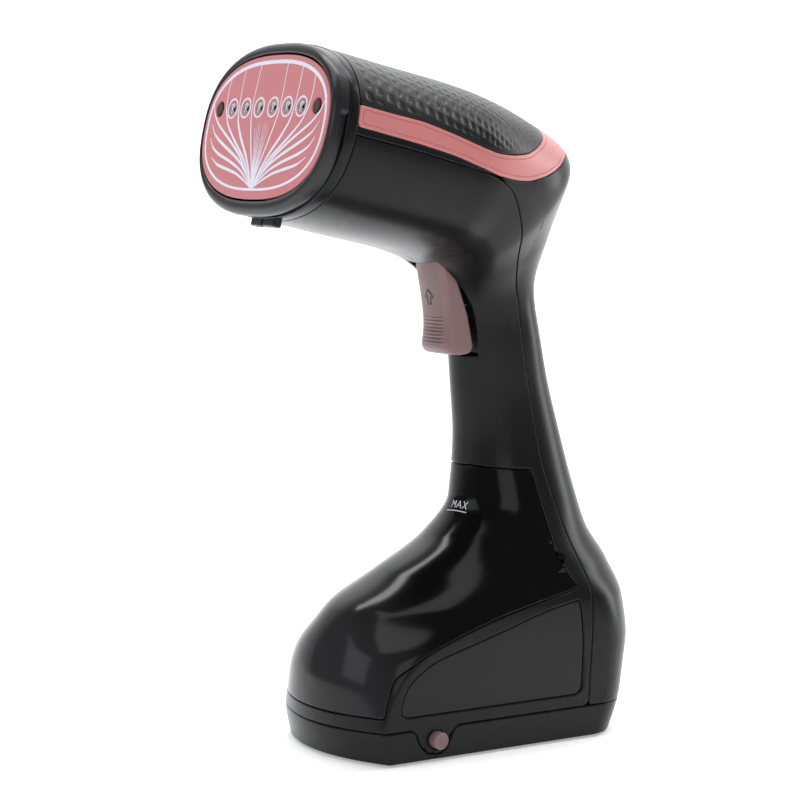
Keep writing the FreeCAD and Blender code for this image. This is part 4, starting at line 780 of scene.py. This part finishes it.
foot_heights = 179.62 + 2.0 * (1 - np.cos(np.linspace(0.05, np.pi / 2, 14)))
height = np.concatenate([foot_heights, np.arange(181.8, 225.4, 0.2)])
even = np.linspace(-np.pi, np.pi, 240, endpoint=False)
turn_here = even + 0.24 * np.sin(4 * even)
trigger_grid = trigger_section(height, turn_here)
rows, columns = trigger_grid.shape[:2]
tris = triangles_of(rows, columns, closed=True)
foot, head = trigger_grid[0].mean(axis=0), trigger_grid[-1].mean(axis=0)
points = np.concatenate([trigger_grid.reshape(-1, 3), [foot], [head]])
ids = np.arange(columns)
fan_low = np.stack([np.roll(ids, -1), ids, np.full(columns, rows * columns)], axis=1)
fan_high = np.stack([ids + (rows - 1) * columns, np.roll(ids, -1) + (rows - 1) * columns,
                     np.full(columns, rows * columns + 1)], axis=1)
trigger = mesh_piece("trigger_cap", points, np.concatenate([tris, fan_low, fan_high]), sharp=45)


def on_trigger(x, z):
    """How far back the trigger's front face is at a spot."""
    front, _ = trigger_profile()
    return np.interp(z, front[:, 0], front[:, 1]) - CROWN * (1 - (x / TRIGGER_HALF) ** 2)


arrow = np.array([(-1.2, 203.0), (-1.2, 206.3), (-3.2, 206.3), (0.0, 210.0), (3.2, 206.3), (1.2, 206.3),
                  (1.2, 203.0)])
closed_arrow = np.concatenate([arrow, arrow[:1]])
dense = np.concatenate([a + (b - a) * np.linspace(0, 1, 14, endpoint=False)[:, None]
                        for a, b in zip(closed_arrow[:-1], closed_arrow[1:])])
arrow_mesh = strip(dense, np.full(len(dense), 0.45), closed=True, surface=on_trigger, lift=0.12)
trigger_mark = mesh_piece("trigger_mark", *arrow_mesh)

# %% [markdown]
# Round pieces are a half outline turned about an axis: the release buttons, the cord gland, the screw
# cups, the feet and the nozzle inserts. One function does them all, and the outline's own corners are
# softened first so that no edge is perfectly sharp.

# %% Turned pieces
AXIS_GAP = 0.05


def softened(outline, radius=0.25):
    """The outline with each inner corner replaced by three points on a small arc."""
    p = np.asarray(outline, float)
    result = [p[0]]
    for before, corner, after in zip(p[:-2], p[1:-1], p[2:]):
        reach = min(radius, np.linalg.norm(corner - before) * 0.45, np.linalg.norm(after - corner) * 0.45)
        enter = corner + (before - corner) / max(np.linalg.norm(before - corner), 1e-9) * reach
        leave = corner + (after - corner) / max(np.linalg.norm(after - corner), 1e-9) * reach
        for share in (0.0, 0.35, 0.65, 1.0):
            a, b = enter + (corner - enter) * share, corner + (leave - corner) * share
            result.append(a + (b - a) * share)
    result.append(p[-1])
    return np.array(result)


def turned(outline, origin, axis, count=48, radius=0.25):
    """A closed turned form: (radius, height) points from the axis and back to it, about an axis."""
    half = softened(outline, radius)
    axis = unit(np.asarray(axis, float))
    first = unit(np.cross(axis, [0.3, 0.2, 0.9] if abs(axis[2]) < 0.9 else [1.0, 0.0, 0.0]))
    second = np.cross(axis, first)
    angle = np.linspace(0, 2 * np.pi, count, endpoint=False)
    spoke = np.cos(angle)[:, None] * first + np.sin(angle)[:, None] * second
    points = (origin + half[:, 0, None, None] * spoke[None] + half[:, 1, None, None] * axis).reshape(-1, 3)
    tris = triangles_of(len(half), count, closed=True)
    if half[0, 0] > AXIS_GAP:
        return points, tris
    last, ids = len(points), np.arange(count)
    ends = np.stack([points[:count].mean(axis=0), points[-count:].mean(axis=0)])
    low = np.stack([np.roll(ids, -1), ids, np.full(count, last)], axis=1)
    high = np.stack([ids + last - count, np.roll(ids, -1) + last - count, np.full(count, last + 1)], axis=1)
    return np.concatenate([points, ends]), np.concatenate([tris, low, high])


def turned_tube(outline, origin, axis, count=48, radius=0.25):
    """A closed turned ring: the outline is a loop that never meets the axis."""
    loop = softened(list(outline) + [outline[0], outline[1]], radius)[1:-1]
    points, _ = turned(loop, origin, axis, count, 0.0)
    rows = len(points) // count
    tris = triangles_of(rows + 1, count, closed=True)
    return points, np.where(tris >= rows * count, tris - rows * count, tris)


def simple_piece(name, forms, sharp=35):
    """One object from several (points, triangles) forms."""
    start, points, tris = 0, [], []
    for some_points, some_tris in forms:
        volume = (some_points[some_tris[:, 0]] * np.cross(some_points[some_tris[:, 1]],
                                                          some_points[some_tris[:, 2]])).sum()
        tris.append((some_tris if volume > 0 else some_tris[:, ::-1]) + start)
        points.append(some_points)
        start += len(some_points)
    return mesh_piece(name, np.concatenate(points), np.concatenate(tris), sharp=sharp)


BUTTON_CAP = [(AXIS_GAP, -1.2), (5.3, -1.2), (5.3, 0.0), (3.9, 0.0), (3.9, 5.4), (3.3, 6.0), (2.95, 6.0),
              (2.8, 5.75), (AXIS_GAP, 5.75)]
buttons = []
for hand, sign in (("left", -1.0), ("right", 1.0)):
    origin = np.array([sign * (BASE_HALF - 2.0), BUTTON_Y, BUTTON_Z])
    forms = [turned(BUTTON_CAP, origin, [sign, 0, 0], 64)]
    face = sign * (BASE_HALF - 2.0 + 5.75)
    wedge = np.array([(-1.25, 0.1), (1.25, 0.1), (0.0, 1.6)])
    bar = np.array([(-1.25, -0.95), (1.25, -0.95), (1.25, -0.45), (-1.25, -0.45)])
    for shape in (wedge, bar):
        shape_y, shape_z = shape[:, 0] + BUTTON_Y, shape[:, 1] + BUTTON_Z
        layers = [np.stack([np.full(len(shape), depth), shape_y, shape_z], axis=1)
                  for depth in (face, face + sign * 0.2)]
        flat = np.concatenate(layers)
        n = len(shape)
        loops = [(k, (k + 1) % n, (k + 1) % n + n) for k in range(n)]
        loops += [(k, (k + 1) % n + n, k + n) for k in range(n)]
        ends = [(0, k + 1, k) for k in range(1, n - 1)] + [(n, n + k, n + k + 1) for k in range(1, n - 1)]
        forms.append((flat, np.array(loops + ends)))
    buttons.append(simple_piece("release_button_%s_cap" % hand, forms))

GLAND_RING = [(3.4, 0.0), (5.5, 0.0), (5.5, 6.0), (7.6, 6.0), (7.6, 8.0), (5.5, 8.6), (5.1, 11.8),
              (3.4, 12.0)]
GLAND_START = np.array([0.0, 84.5, 27.5])
gland = simple_piece("cord_gland_ring", [turned_tube(GLAND_RING, GLAND_START, [0, 1, 0], 72)])
CUP_SEATS = [(150.0, 58.0), (92.0, 77.0)]
cups = []
for level, seat in CUP_SEATS:
    miss = np.abs(SKIN[:, 0]) + np.abs(SKIN[:, 2] - level) + np.where(rear_side, 0, 1e3)
    skin_y = SKIN[np.argmin(miss), 1]
    cups.append(turned_tube([(3.0, 0.0), (3.9, 0.0), (3.9, skin_y - seat + 1.2), (3.0, skin_y - seat + 1.2)],
                            np.array([0.0, seat - 1.6, level]), [0, 1, 0], 40, 0.2))
screw_cups = simple_piece("screw_cups", cups)
FOOT = [(AXIS_GAP, 0.0), (6.2, 0.0), (7.0, 0.8), (7.0, 2.2), (AXIS_GAP, 2.2)]
FOOT_SPOTS = [(x * 26.0, y) for y in (FRONT + 22.0, BACK - 32.0) for x in (-1, 1)]
feet = simple_piece("rubber_feet", [turned(FOOT, np.array([x, y, 0.0]), [0, 0, 1], 56, 0.4)
                                    for x, y in FOOT_SPOTS])
INSERT = [(1.25, 2.2), (1.25, 1.4), (1.5, 1.1), (2.2, 0.75), (2.45, 0.35), (2.85, 0.28), (2.85, 2.2)]
inserts = []
for x in NOZZLE_X:
    start = PLATE + x * ACROSS + NOZZLE_V * HEAD_UP
    inserts.append(turned_tube(INSERT, start, HEAD_BACK, 40, 0.12))
nozzle_inserts = simple_piece("nozzle_inserts", inserts)

# %% [markdown]
# The accessory latch is a small tab under the head. Behind the trigger, a curved wall closes the slot just
# past the trigger's travel. The walls that face each other when the tank slides
# out, the tank's own back and the lining of its bay, are one sheet shape: it runs along the tank's
# outline and straight across the body, and at every place along the outline it is as wide as the skin is
# there.

# %% Latch, tank back and bay lining
def box_form(low, high, edge=0.35):
    """A box with chamfered edges as a grid-free closed mesh: three slabs' corners in one hull."""
    low, high = np.array(low, float), np.array(high, float)
    ring = []
    for z, shrink in ((low[2], edge), (low[2] + edge, 0), (high[2] - edge, 0), (high[2], edge)):
        x0, x1, y0, y1 = low[0] + shrink, high[0] - shrink, low[1] + shrink, high[1] - shrink
        e = edge
        ring.append([(x0 + e, y0, z), (x1 - e, y0, z), (x1, y0 + e, z), (x1, y1 - e, z), (x1 - e, y1, z),
                     (x0 + e, y1, z), (x0, y1 - e, z), (x0, y0 + e, z)])
    ring = np.array(ring)
    tris = triangles_of(4, 8, closed=True)
    points = np.concatenate([ring.reshape(-1, 3), [ring[0].mean(0)], [ring[-1].mean(0)]])
    ids = np.arange(8)
    low_fan = np.stack([np.roll(ids, -1), ids, np.full(8, 32)], axis=1)
    high_fan = np.stack([ids + 24, np.roll(ids, -1) + 24, np.full(8, 33)], axis=1)
    return points, np.concatenate([tris, low_fan, high_fan])


latch_forms = []
for x0, x1 in ((-10.5, -0.5), (0.5, 10.5), (-9.8, 9.8)):
    front = 9.1 if abs(x0 + x1) > 1e-6 else 9.8
    points, tris = box_form((x0, front, -42.7), (x1, 13.4, -36.0), 0.5)
    latch_forms.append(to_head(points, tris)[:2])
latch = simple_piece("latch_tab", latch_forms)

tank_line = np.array([p for p in TANK_OUTLINE if -70 < p[0] and p[1] < 130.0])
steps = np.concatenate([[0], np.cumsum(np.linalg.norm(np.diff(tank_line, axis=0), axis=1))])
LINE_COUNT = 260
line_at = np.linspace(0, steps[-1], LINE_COUNT)
line = np.stack([np.interp(line_at, steps, tank_line[:, k]) for k in (0, 1)], axis=1)
middle_skin = SKIN[np.abs(SKIN[:, 0]) < 4.0]
level_gap = np.abs(middle_skin[None, :, 2] - line[:, None, 1])
front_y = np.where(level_gap < 2.0, middle_skin[None, :, 1], 1e3).min(axis=1)
line = line[line[:, 0] > front_y + 2.6]
line_at = np.linspace(0, len(line) - 1, LINE_COUNT)
line = np.stack([np.interp(line_at, np.arange(len(line)), line[:, k]) for k in (0, 1)], axis=1)
right = SKIN[:, 0] > 0.2
skin_side = SKIN[right]


def skin_half_width(spots):
    """Half the body's width at side-view spots, from the nearest points of the skin."""
    widths = np.zeros(len(spots))
    for k, spot in enumerate(spots):
        gap = np.hypot(skin_side[:, 1] - spot[0], skin_side[:, 2] - spot[1])
        near = np.argpartition(gap, 4)[:4]
        weight = 1 / (gap[near] + 0.05) ** 2
        widths[k] = (skin_side[near, 0] * weight).sum() / weight.sum()
    return widths


def seam_sheet(offset, wall, margin):
    """A sheet along the tank's outline, moved by offset away from the tank, and wall thick."""
    along = unit(np.gradient(line, axis=0))
    normal = np.stack([along[:, 1], -along[:, 0]], axis=1)
    inner, outer_line = line + normal * offset, line + normal * (offset + wall)
    half = np.maximum(skin_half_width(inner) - margin, 0.5)
    lanes = np.linspace(-1, 1, 13)
    grids = []
    for path in (inner, outer_line):
        grids.append(np.stack([lanes[None] * half[:, None], np.broadcast_to(path[:, :1], (LINE_COUNT, 13)),
                               np.broadcast_to(path[:, 1:], (LINE_COUNT, 13))], axis=-1))
    top = grid_normals(grids[1])
    tris = triangles_of(LINE_COUNT, 13)
    if face_normals(grids[1].reshape(-1, 3), tris)[:, 2].mean() * offset < 0:
        tris = tris[:, ::-1]
        top = -top
    return close_skin(grids[1].reshape(-1, 3), top.reshape(-1, 3), tris, grids[0].reshape(-1, 3),
                      -top.reshape(-1, 3))


BACK_COUNT = 60
back_line = np.array(sweep)[:-1]
back_at = np.linspace(0, len(back_line) - 1, BACK_COUNT)
back_line = np.stack([np.interp(back_at, np.arange(len(back_line)), back_line[:, k])
                      for k in (0, 1)], axis=1)
back_sides = np.linspace(-TRIGGER_HALF - 0.2, TRIGGER_HALF + 0.2, 9)
back_grid = np.stack(np.broadcast_arrays(back_sides[None], back_line[:, :1] + 0.6, back_line[:, 1:]),
                     axis=-1)
back_points = back_grid.reshape(-1, 3)
back_tris = triangles_of(BACK_COUNT, 9)
if face_normals(back_points, back_tris)[:, 1].mean() > 0:
    back_tris = back_tris[:, ::-1]
facing = np.broadcast_to([0.0, -1.0, 0.0], back_points.shape)
slot_back = mesh_piece("trigger_slot_back", *close_skin(back_points, facing, back_tris,
                                                        back_points + [0.0, 0.8, 0.0], -facing))

bay_lining = mesh_piece("tank_bay_lining", *seam_sheet(0.45, 1.6, 1.6))
tank_back = mesh_piece("tank_back_wall", *seam_sheet(-2.0, 1.7, 1.2))

# %% [markdown]
# The tank carries a level mark: a short line with the word that such marks usually have. Its strokes are
# straight strips on the tank's skin. The skin's own point and normal at each spot place them.

# %% The level mark on the tank
def skin_spot(height, across):
    """The skin's point and normal beside the front of the neck, at a height and a distance across."""
    near = (np.abs(SKIN[:, 2] - height) + np.abs(SKIN[:, 0] - across) + np.where(SKIN[:, 1] < 60, 0, 1e3)
            + np.where(SKIN_NORMALS[:, 1] < 0, 0, 40))
    best = np.argsort(near)[:6]
    return SKIN[best].mean(axis=0), unit(SKIN_NORMALS[best].mean(axis=0))


MARK_POINT, MARK_NORMAL = skin_spot(107.5, 4.0)
mark_right = unit(np.cross(np.array([0.0, 0.0, 1.0]), MARK_NORMAL))
mark_up = np.cross(MARK_NORMAL, mark_right)
LETTERS = [[(-5.2, 0.0), (-5.2, 3.4), (-3.9, 1.4), (-2.6, 3.4), (-2.6, 0.0)],
           [(-1.5, 0.0), (0.0, 3.4), (1.5, 0.0)], [(-0.9, 1.2), (0.9, 1.2)],
           [(2.5, 0.0), (4.9, 3.4)], [(2.5, 3.4), (4.9, 0.0)], [(-7.4, -1.6), (5.6, -1.6)]]
mark_parts = []
close_by = (SKIN_NORMALS[:, 1] < 0.2) & (np.abs(SKIN[:, 2] - MARK_POINT[2]) < 14)
skin_tree, tree_normals = SKIN[close_by], SKIN_NORMALS[close_by]


def onto_skin(spots):
    """Flat points near the skin dropped onto its nearest tangent plane."""
    result = spots.copy()
    for k, spot in enumerate(spots):
        gap = np.linalg.norm(skin_tree - spot, axis=1)
        near = np.argpartition(gap, 3)[:3]
        heights = ((spot - skin_tree[near]) * tree_normals[near]).sum(axis=1)
        result[k] = spot - tree_normals[near].mean(axis=0) * heights.mean()
    return result


for stroke in LETTERS:
    corners_2d = np.array(stroke)
    for a, b in zip(corners_2d[:-1], corners_2d[1:]):
        run = a + (b - a) * np.linspace(-0.03, 1.03, 6)[:, None]
        across = unit(np.array([-(b - a)[1], (b - a)[0]])) * 0.24
        rails = np.stack([run + across, run - across], axis=1).reshape(-1, 2)
        flat = MARK_POINT + rails[:, :1] * mark_right + rails[:, 1:] * mark_up
        outer = onto_skin(flat) + MARK_NORMAL * 0.05
        tris = triangles_of(6, 2)
        if (face_normals(outer, tris) @ MARK_NORMAL).mean() < 0:
            tris = tris[:, ::-1]
        shade = np.broadcast_to(MARK_NORMAL, outer.shape)
        mark_parts.append(close_skin(outer, shade, tris, outer - MARK_NORMAL * 0.09, -shade))
level_mark = mesh_piece("level_mark", *joined(mark_parts))

# %% [markdown]
# Every plastic here gets its look from the same two effects: a very fine grain that bends the light, and
# broad soft patches where the surface is a little smoother or rougher from handling. They are one node
# group, which gives out a roughness and a normal. Each material then keeps its own shader and colour.

# %% Node groups
def new_group(name, inputs, outputs):
    """An empty node group with float inputs (name: default) and typed outputs (name: socket type)."""
    group = bpy.data.node_groups.new(name, "ShaderNodeTree")
    for label, value in inputs.items():
        socket = group.interface.new_socket(label, in_out="INPUT", socket_type="NodeSocketFloat")
        socket.default_value = value
    for label, kind in outputs.items():
        group.interface.new_socket(label, in_out="OUTPUT", socket_type=kind)
    return group, group.nodes.new("NodeGroupInput"), group.nodes.new("NodeGroupOutput")


def node(tree, kind, **values):
    """A node with its plain properties set, and its input sockets where a name matches one."""
    made = tree.nodes.new(kind)
    for key, value in values.items():
        if hasattr(made, key):
            setattr(made, key, value)
        else:
            made.inputs[key.replace("_", " ")].default_value = value
    return made


surface_group, group_in, group_out = new_group(
    "moulded_surface", {"Grain": 1400.0, "Relief": 0.05, "Roughness": 0.3, "Patches": 0.05},
    {"Roughness": "NodeSocketFloat", "Normal": "NodeSocketVector"})
place = node(surface_group, "ShaderNodeTexCoord")
grain = node(surface_group, "ShaderNodeTexNoise", Detail=2.0)
broad = node(surface_group, "ShaderNodeTexNoise", Scale=26.0, Detail=3.0)
bump = node(surface_group, "ShaderNodeBump", Distance=0.00012)
centred = node(surface_group, "ShaderNodeMath", operation="SUBTRACT")
centred.inputs[1].default_value = 0.5
spread = node(surface_group, "ShaderNodeMath", operation="MULTIPLY")
total = node(surface_group, "ShaderNodeMath", operation="ADD")
wire = surface_group.links.new
wire(place.outputs["Object"], grain.inputs["Vector"])
wire(place.outputs["Object"], broad.inputs["Vector"])
wire(group_in.outputs["Grain"], grain.inputs["Scale"])
wire(group_in.outputs["Relief"], bump.inputs["Strength"])
wire(grain.outputs["Fac"], bump.inputs["Height"])
wire(broad.outputs["Fac"], centred.inputs[0])
wire(centred.outputs[0], spread.inputs[0])
wire(group_in.outputs["Patches"], spread.inputs[1])
wire(spread.outputs[0], total.inputs[0])
wire(group_in.outputs["Roughness"], total.inputs[1])
wire(total.outputs[0], group_out.inputs["Roughness"])
wire(bump.outputs["Normal"], group_out.inputs["Normal"])


def material(name, colour, rough, grain=1400.0, relief=0.05, patches=0.05, **shader):
    """A Principled material that takes its roughness and normal from the moulded surface group."""
    made = bpy.data.materials.new(name)
    made.use_nodes = True
    tree = made.node_tree
    principled = tree.nodes["Principled BSDF"]
    principled.inputs["Base Color"].default_value = (*colour, 1.0)
    for key, value in shader.items():
        principled.inputs[key.replace("_", " ")].default_value = value
    group = tree.nodes.new("ShaderNodeGroup")
    group.node_tree = surface_group
    group.inputs["Grain"].default_value = grain
    group.inputs["Relief"].default_value = relief
    group.inputs["Roughness"].default_value = rough
    group.inputs["Patches"].default_value = patches
    tree.links.new(group.outputs["Roughness"], principled.inputs["Roughness"])
    tree.links.new(group.outputs["Normal"], principled.inputs["Normal"])
    return made


def blend_painted_light(made, colour, axis, start, end):
    """Painted light and shade: blend the base colour towards another across a range of one Object
    coordinate.
    """
    tree = made.node_tree
    principled = tree.nodes["Principled BSDF"]
    place = tree.nodes.new("ShaderNodeTexCoord")
    split = tree.nodes.new("ShaderNodeSeparateXYZ")
    size_of = node(tree, "ShaderNodeMath", operation="ABSOLUTE")
    ramp = node(tree, "ShaderNodeMapRange", interpolation_type="SMOOTHSTEP", From_Min=start, From_Max=end)
    mix = node(tree, "ShaderNodeMix", data_type="RGBA")
    mix.inputs["A"].default_value = principled.inputs["Base Color"].default_value[:]
    mix.inputs["B"].default_value = (*colour, 1.0)
    tree.links.new(place.outputs["Object"], split.inputs[0])
    source = split.outputs[axis]
    if axis == "X":
        tree.links.new(source, size_of.inputs[0])
        source = size_of.outputs[0]
    tree.links.new(source, ramp.inputs["Value"])
    tree.links.new(ramp.outputs["Result"], mix.inputs["Factor"])
    tree.links.new(mix.outputs["Result"], principled.inputs["Base Color"])
    return made


LOOKS = {
    "black_shell": material("black_shell", (0.0080, 0.0080, 0.0086), 0.27, relief=0.04,
                            Specular_IOR_Level=0.2),
    "dotted_black": material("dotted_black", (0.010, 0.010, 0.0105), 0.34, relief=0.05,
                             Specular_IOR_Level=0.32),
    "pink_plastic": material("pink_plastic", (0.60, 0.205, 0.205), 0.36, relief=0.06),
    "matte_panel": material("matte_panel", (0.0085, 0.0085, 0.0088), 0.48, grain=900.0, relief=0.3,
                            Specular_IOR_Level=0.3),
    "black_rubber": material("black_rubber", (0.012, 0.012, 0.012), 0.7, grain=900.0, relief=0.3),
    "screw_steel": material("screw_steel", (0.5, 0.5, 0.5), 0.35, Metallic=1.0),
    "smoked_tank": material("smoked_tank", (0.0035, 0.0035, 0.0038), 0.15, relief=0.0, patches=0.02,
                            Specular_IOR_Level=0.16),
    "silicone": material("silicone", (0.62, 0.58, 0.53), 0.5, Subsurface_Weight=0.1),
    "inner_plastic": material("inner_plastic", (0.6, 0.59, 0.55), 0.45),
    "pink_plate": material("pink_plate", (0.60, 0.215, 0.23), 0.42, grain=2200.0, relief=0.10,
                           Specular_IOR_Level=0.35),
    "plate_print": material("plate_print", (0.80, 0.79, 0.90), 0.45, grain=2200.0, relief=0.05),
    "nozzle_metal": material("nozzle_metal", (0.42, 0.42, 0.44), 0.28, Metallic=1.0),
    "slate_bezel": material("slate_bezel", (0.017, 0.0175, 0.021), 0.30, relief=0.05,
                            Specular_IOR_Level=0.35),
    "spring_steel": material("spring_steel", (0.6, 0.6, 0.6), 0.25, Metallic=1.0),
    "cast_aluminium": material("cast_aluminium", (0.55, 0.55, 0.56), 0.45, grain=500.0, relief=0.5,
                               Metallic=1.0),
    "mauve_trigger": material("mauve_trigger", (0.205, 0.125, 0.125), 0.45, grain=1100.0, relief=0.12),
    "board_green": material("board_green", (0.03, 0.16, 0.06), 0.4),
    "mark_white": material("mark_white", (0.62, 0.64, 0.70), 0.5),
    "icon_dark": material("icon_dark", (0.09, 0.055, 0.055), 0.5),
    # Painted shade: the pink plate's colour darkened to about a tenth, given to the screws in the plate's
    # end holes so those holes read as shaded pink recesses.
    "end_hole_painted_shade": material("end_hole_painted_shade", (0.055, 0.018, 0.016), 0.5),
}
# Painted light: the smoked tank blends to a lighter colour towards its nose (Object y below -22 mm),
# standing in for light seen through the smoked plastic.
blend_painted_light(LOOKS["smoked_tank"], (0.022, 0.021, 0.022), "Y", -0.022, -0.060)
# Painted shade: the trigger is darker and greyer within 7.5 mm of its middle, standing in for its front face
# lying in shade; towards its sides it blends to a lighter pink.
blend_painted_light(LOOKS["mauve_trigger"], (0.235, 0.135, 0.138), "X", 0.0075, 0.0098)
print("%d materials" % len(LOOKS))

# %% [markdown]
# Each new piece is named with the CAD nodes it stands for, the body it rides on and the finish it takes.
# The inner parts stay as the CAD made them and only get their materials.

# %% Ride, replace and finish
PIECES = [
    (front_shell, "housing", "black_shell", "black_shell", ["front_shell"]),
    (bay_lining, "housing", "black_shell", "black_shell", []),
    (slot_back, "housing", "black_shell", "black_shell", []),
    (rear_shell, "housing", "black_shell", "black_shell", ["rear_shell"]),
    (screw_cups, "housing", "black_shell", "black_shell", []),
    (top_cover, "housing", "dotted_black", "dotted_black", ["top_cover"]),
    (pink_band, "housing", "pink_plastic", "pink_plastic", ["pink_band"]),
    (side_panels[0], "housing", "matte_panel", "matte_panel", ["side_panel_left"]),
    (side_panels[1], "housing", "matte_panel", "matte_panel", ["side_panel_right"]),
    (base_tray, "housing", "black_shell", "black_shell", ["base_tray"]),
    (feet, "housing", "black_rubber", "black_rubber", ["feet"]),
    (gland, "housing", "black_rubber", "black_rubber", ["cord_gland"]),
    (face_plate, "housing", "pink_plate", "pink_plate", ["face_plate"]),
    (plate_print, "housing", "pink_plate", "plate_print", []),
    (nozzle_inserts, "housing", "nozzle_metal", "nozzle_metal", ["steam_nozzles"]),
    (bezel, "housing", "slate_bezel", "slate_bezel", ["bezel"]),
    (head_ring, "housing", "black_shell", "black_shell", ["head_ring"]),
    (tank, "tank_body", "smoked_tank", "smoked_tank", ["tank"]),
    (tank_back, "tank_body", "smoked_tank", "smoked_tank", []),
    (level_mark, "tank_body", "smoked_tank", "mark_white", []),
    (trigger, "trigger_body", "mauve_trigger", "mauve_trigger", ["trigger"]),
    (trigger_mark, "trigger_body", "mauve_trigger", "icon_dark", []),
    (buttons[0], "button_left_body", "mauve_trigger", "mauve_trigger", ["release_button_left"]),
    (buttons[1], "button_right_body", "mauve_trigger", "mauve_trigger", ["release_button_right"]),
    (latch, "latch_body", "slate_bezel", "slate_bezel", ["accessory_latch"]),
]
for piece, body, slot, look, replaced in PIECES:
    piece.data.materials.append(LOOKS[look])
    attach(piece, body)
    if replaced:
        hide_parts(*replaced)
slot_of = {part["node"]: part["material_slot"] for part in frame["record"]["subparts"]}
for name, solid in frame["nodes"].items():
    # The plate's screws take the painted shade of the end holes.
    look = LOOKS["end_hole_painted_shade" if name == "plate_screws" else slot_of[name]]
    if not solid.data.materials:
        solid.data.materials.append(look)
    for index in range(len(solid.data.materials)):
        solid.data.materials[index] = look

# %% [markdown]
# The object stands on a pale floor that curves up into a pale backdrop. The lights are large and soft: a
# cool one from the front left, a long one at the back right that draws the rim, one overhead, and one
# that keeps the backdrop bright. The camera looks at the right side of the head from slightly above.

# %% Floor, lights and camera
HEADING = np.radians(57.7)
FORWARD = np.array([-np.sin(HEADING), np.cos(HEADING), 0.0])
SIDEWAYS = np.array([np.cos(HEADING), np.sin(HEADING), 0.0])


def studio_floor():
    """Floor and backdrop in one sheet: flat, then a quarter circle, then straight up."""
    bend = np.linspace(0, np.pi / 2, 24)
    flat = [(-3.0, 0.0), (1.2, 0.0)]
    curve = [(1.2 + 0.8 * np.sin(a), 0.8 - 0.8 * np.cos(a)) for a in bend[1:]]
    profile = np.array(flat + curve + [(2.0, 3.5)])
    across = np.linspace(-3.5, 3.5, 9)
    points = (profile[:, None, :1] * FORWARD + across[None, :, None] * SIDEWAYS
              + profile[:, None, 1:] * np.array([0.0, 0.0, 1.0])) * 1000.0
    flat_points = points.reshape(-1, 3)
    tris = triangles_of(len(profile), 9)
    if face_normals(flat_points, tris)[:, 2].mean() < 0:
        tris = tris[:, ::-1]
    return mesh_piece("studio_floor", flat_points, tris, sharp=60)


floor = studio_floor()
floor_look = bpy.data.materials.new("floor_look")
floor_look.use_nodes = True
floor_look.node_tree.nodes["Principled BSDF"].inputs["Base Color"].default_value = (0.9, 0.9, 0.91, 1.0)
floor_look.node_tree.nodes["Principled BSDF"].inputs["Roughness"].default_value = 0.85
floor_look.node_tree.nodes["Principled BSDF"].inputs["Specular IOR Level"].default_value = 0.1
floor_look.node_tree.nodes["Principled BSDF"].inputs["Emission Color"].default_value = (1.0, 1.0, 1.0, 1.0)
floor_look.node_tree.nodes["Principled BSDF"].inputs["Emission Strength"].default_value = 0.35
floor.data.materials.append(floor_look)


def soft_light(name, place, target, size_x, size_y, power, colour=(1.0, 1.0, 1.0)):
    """A rectangular area light at a place, turned to face a target."""
    lamp = bpy.data.lights.new(name, "AREA")
    lamp.shape, lamp.size, lamp.size_y, lamp.energy, lamp.color = "RECTANGLE", size_x, size_y, power, colour
    holder = bpy.data.objects.new(name, lamp)
    holder.location = place
    holder.rotation_euler = (Vector(target) - Vector(place)).to_track_quat("-Z", "Y").to_euler()
    bpy.context.scene.collection.objects.link(holder)
    return holder


def spot(forward, side, height):
    """A point in the room, from steps along the view, to its right and up."""
    return tuple(FORWARD * forward + SIDEWAYS * side + np.array([0.0, 0.0, height]))


soft_light("front_left_soft", spot(-0.7, -1.5, 0.9), (0, 0, 0.16), 0.9, 1.2, 7, (0.93, 0.96, 1.0))
soft_light("rear_right_strip", spot(0.5, 1.3, 0.7), (0, 0, 0.16), 0.35, 1.4, 9)
soft_light("overhead_soft", spot(-0.1, 0.0, 1.6), (0, 0, 0.1), 1.2, 1.2, 11)
soft_light("front_fill", spot(-1.8, 0.6, 0.9), (0, 0, 0.18), 1.0, 1.0, 6)
soft_light("backdrop_wash", spot(0.9, 0.0, 2.4), spot(1.9, 0.0, 0.6), 3.0, 0.6, 60)

world = bpy.data.worlds.new("room")
world.use_nodes = True
world.node_tree.nodes["Background"].inputs["Color"].default_value = (0.86, 0.88, 0.92, 1.0)
world.node_tree.nodes["Background"].inputs["Strength"].default_value = 0.15
bpy.context.scene.world = world
bpy.context.scene.view_settings.view_transform = "Standard"

lens = bpy.data.cameras.new("view")
lens.sensor_width = 36.0
lens.lens = 110.34
camera = bpy.data.objects.new("view", lens)
camera.location = (0.95061, -0.61961, 0.26913)
camera.rotation_euler = (np.radians(90.0 - 5.575), 0.0, HEADING)
bpy.context.scene.collection.objects.link(camera)
bpy.context.scene.camera = camera
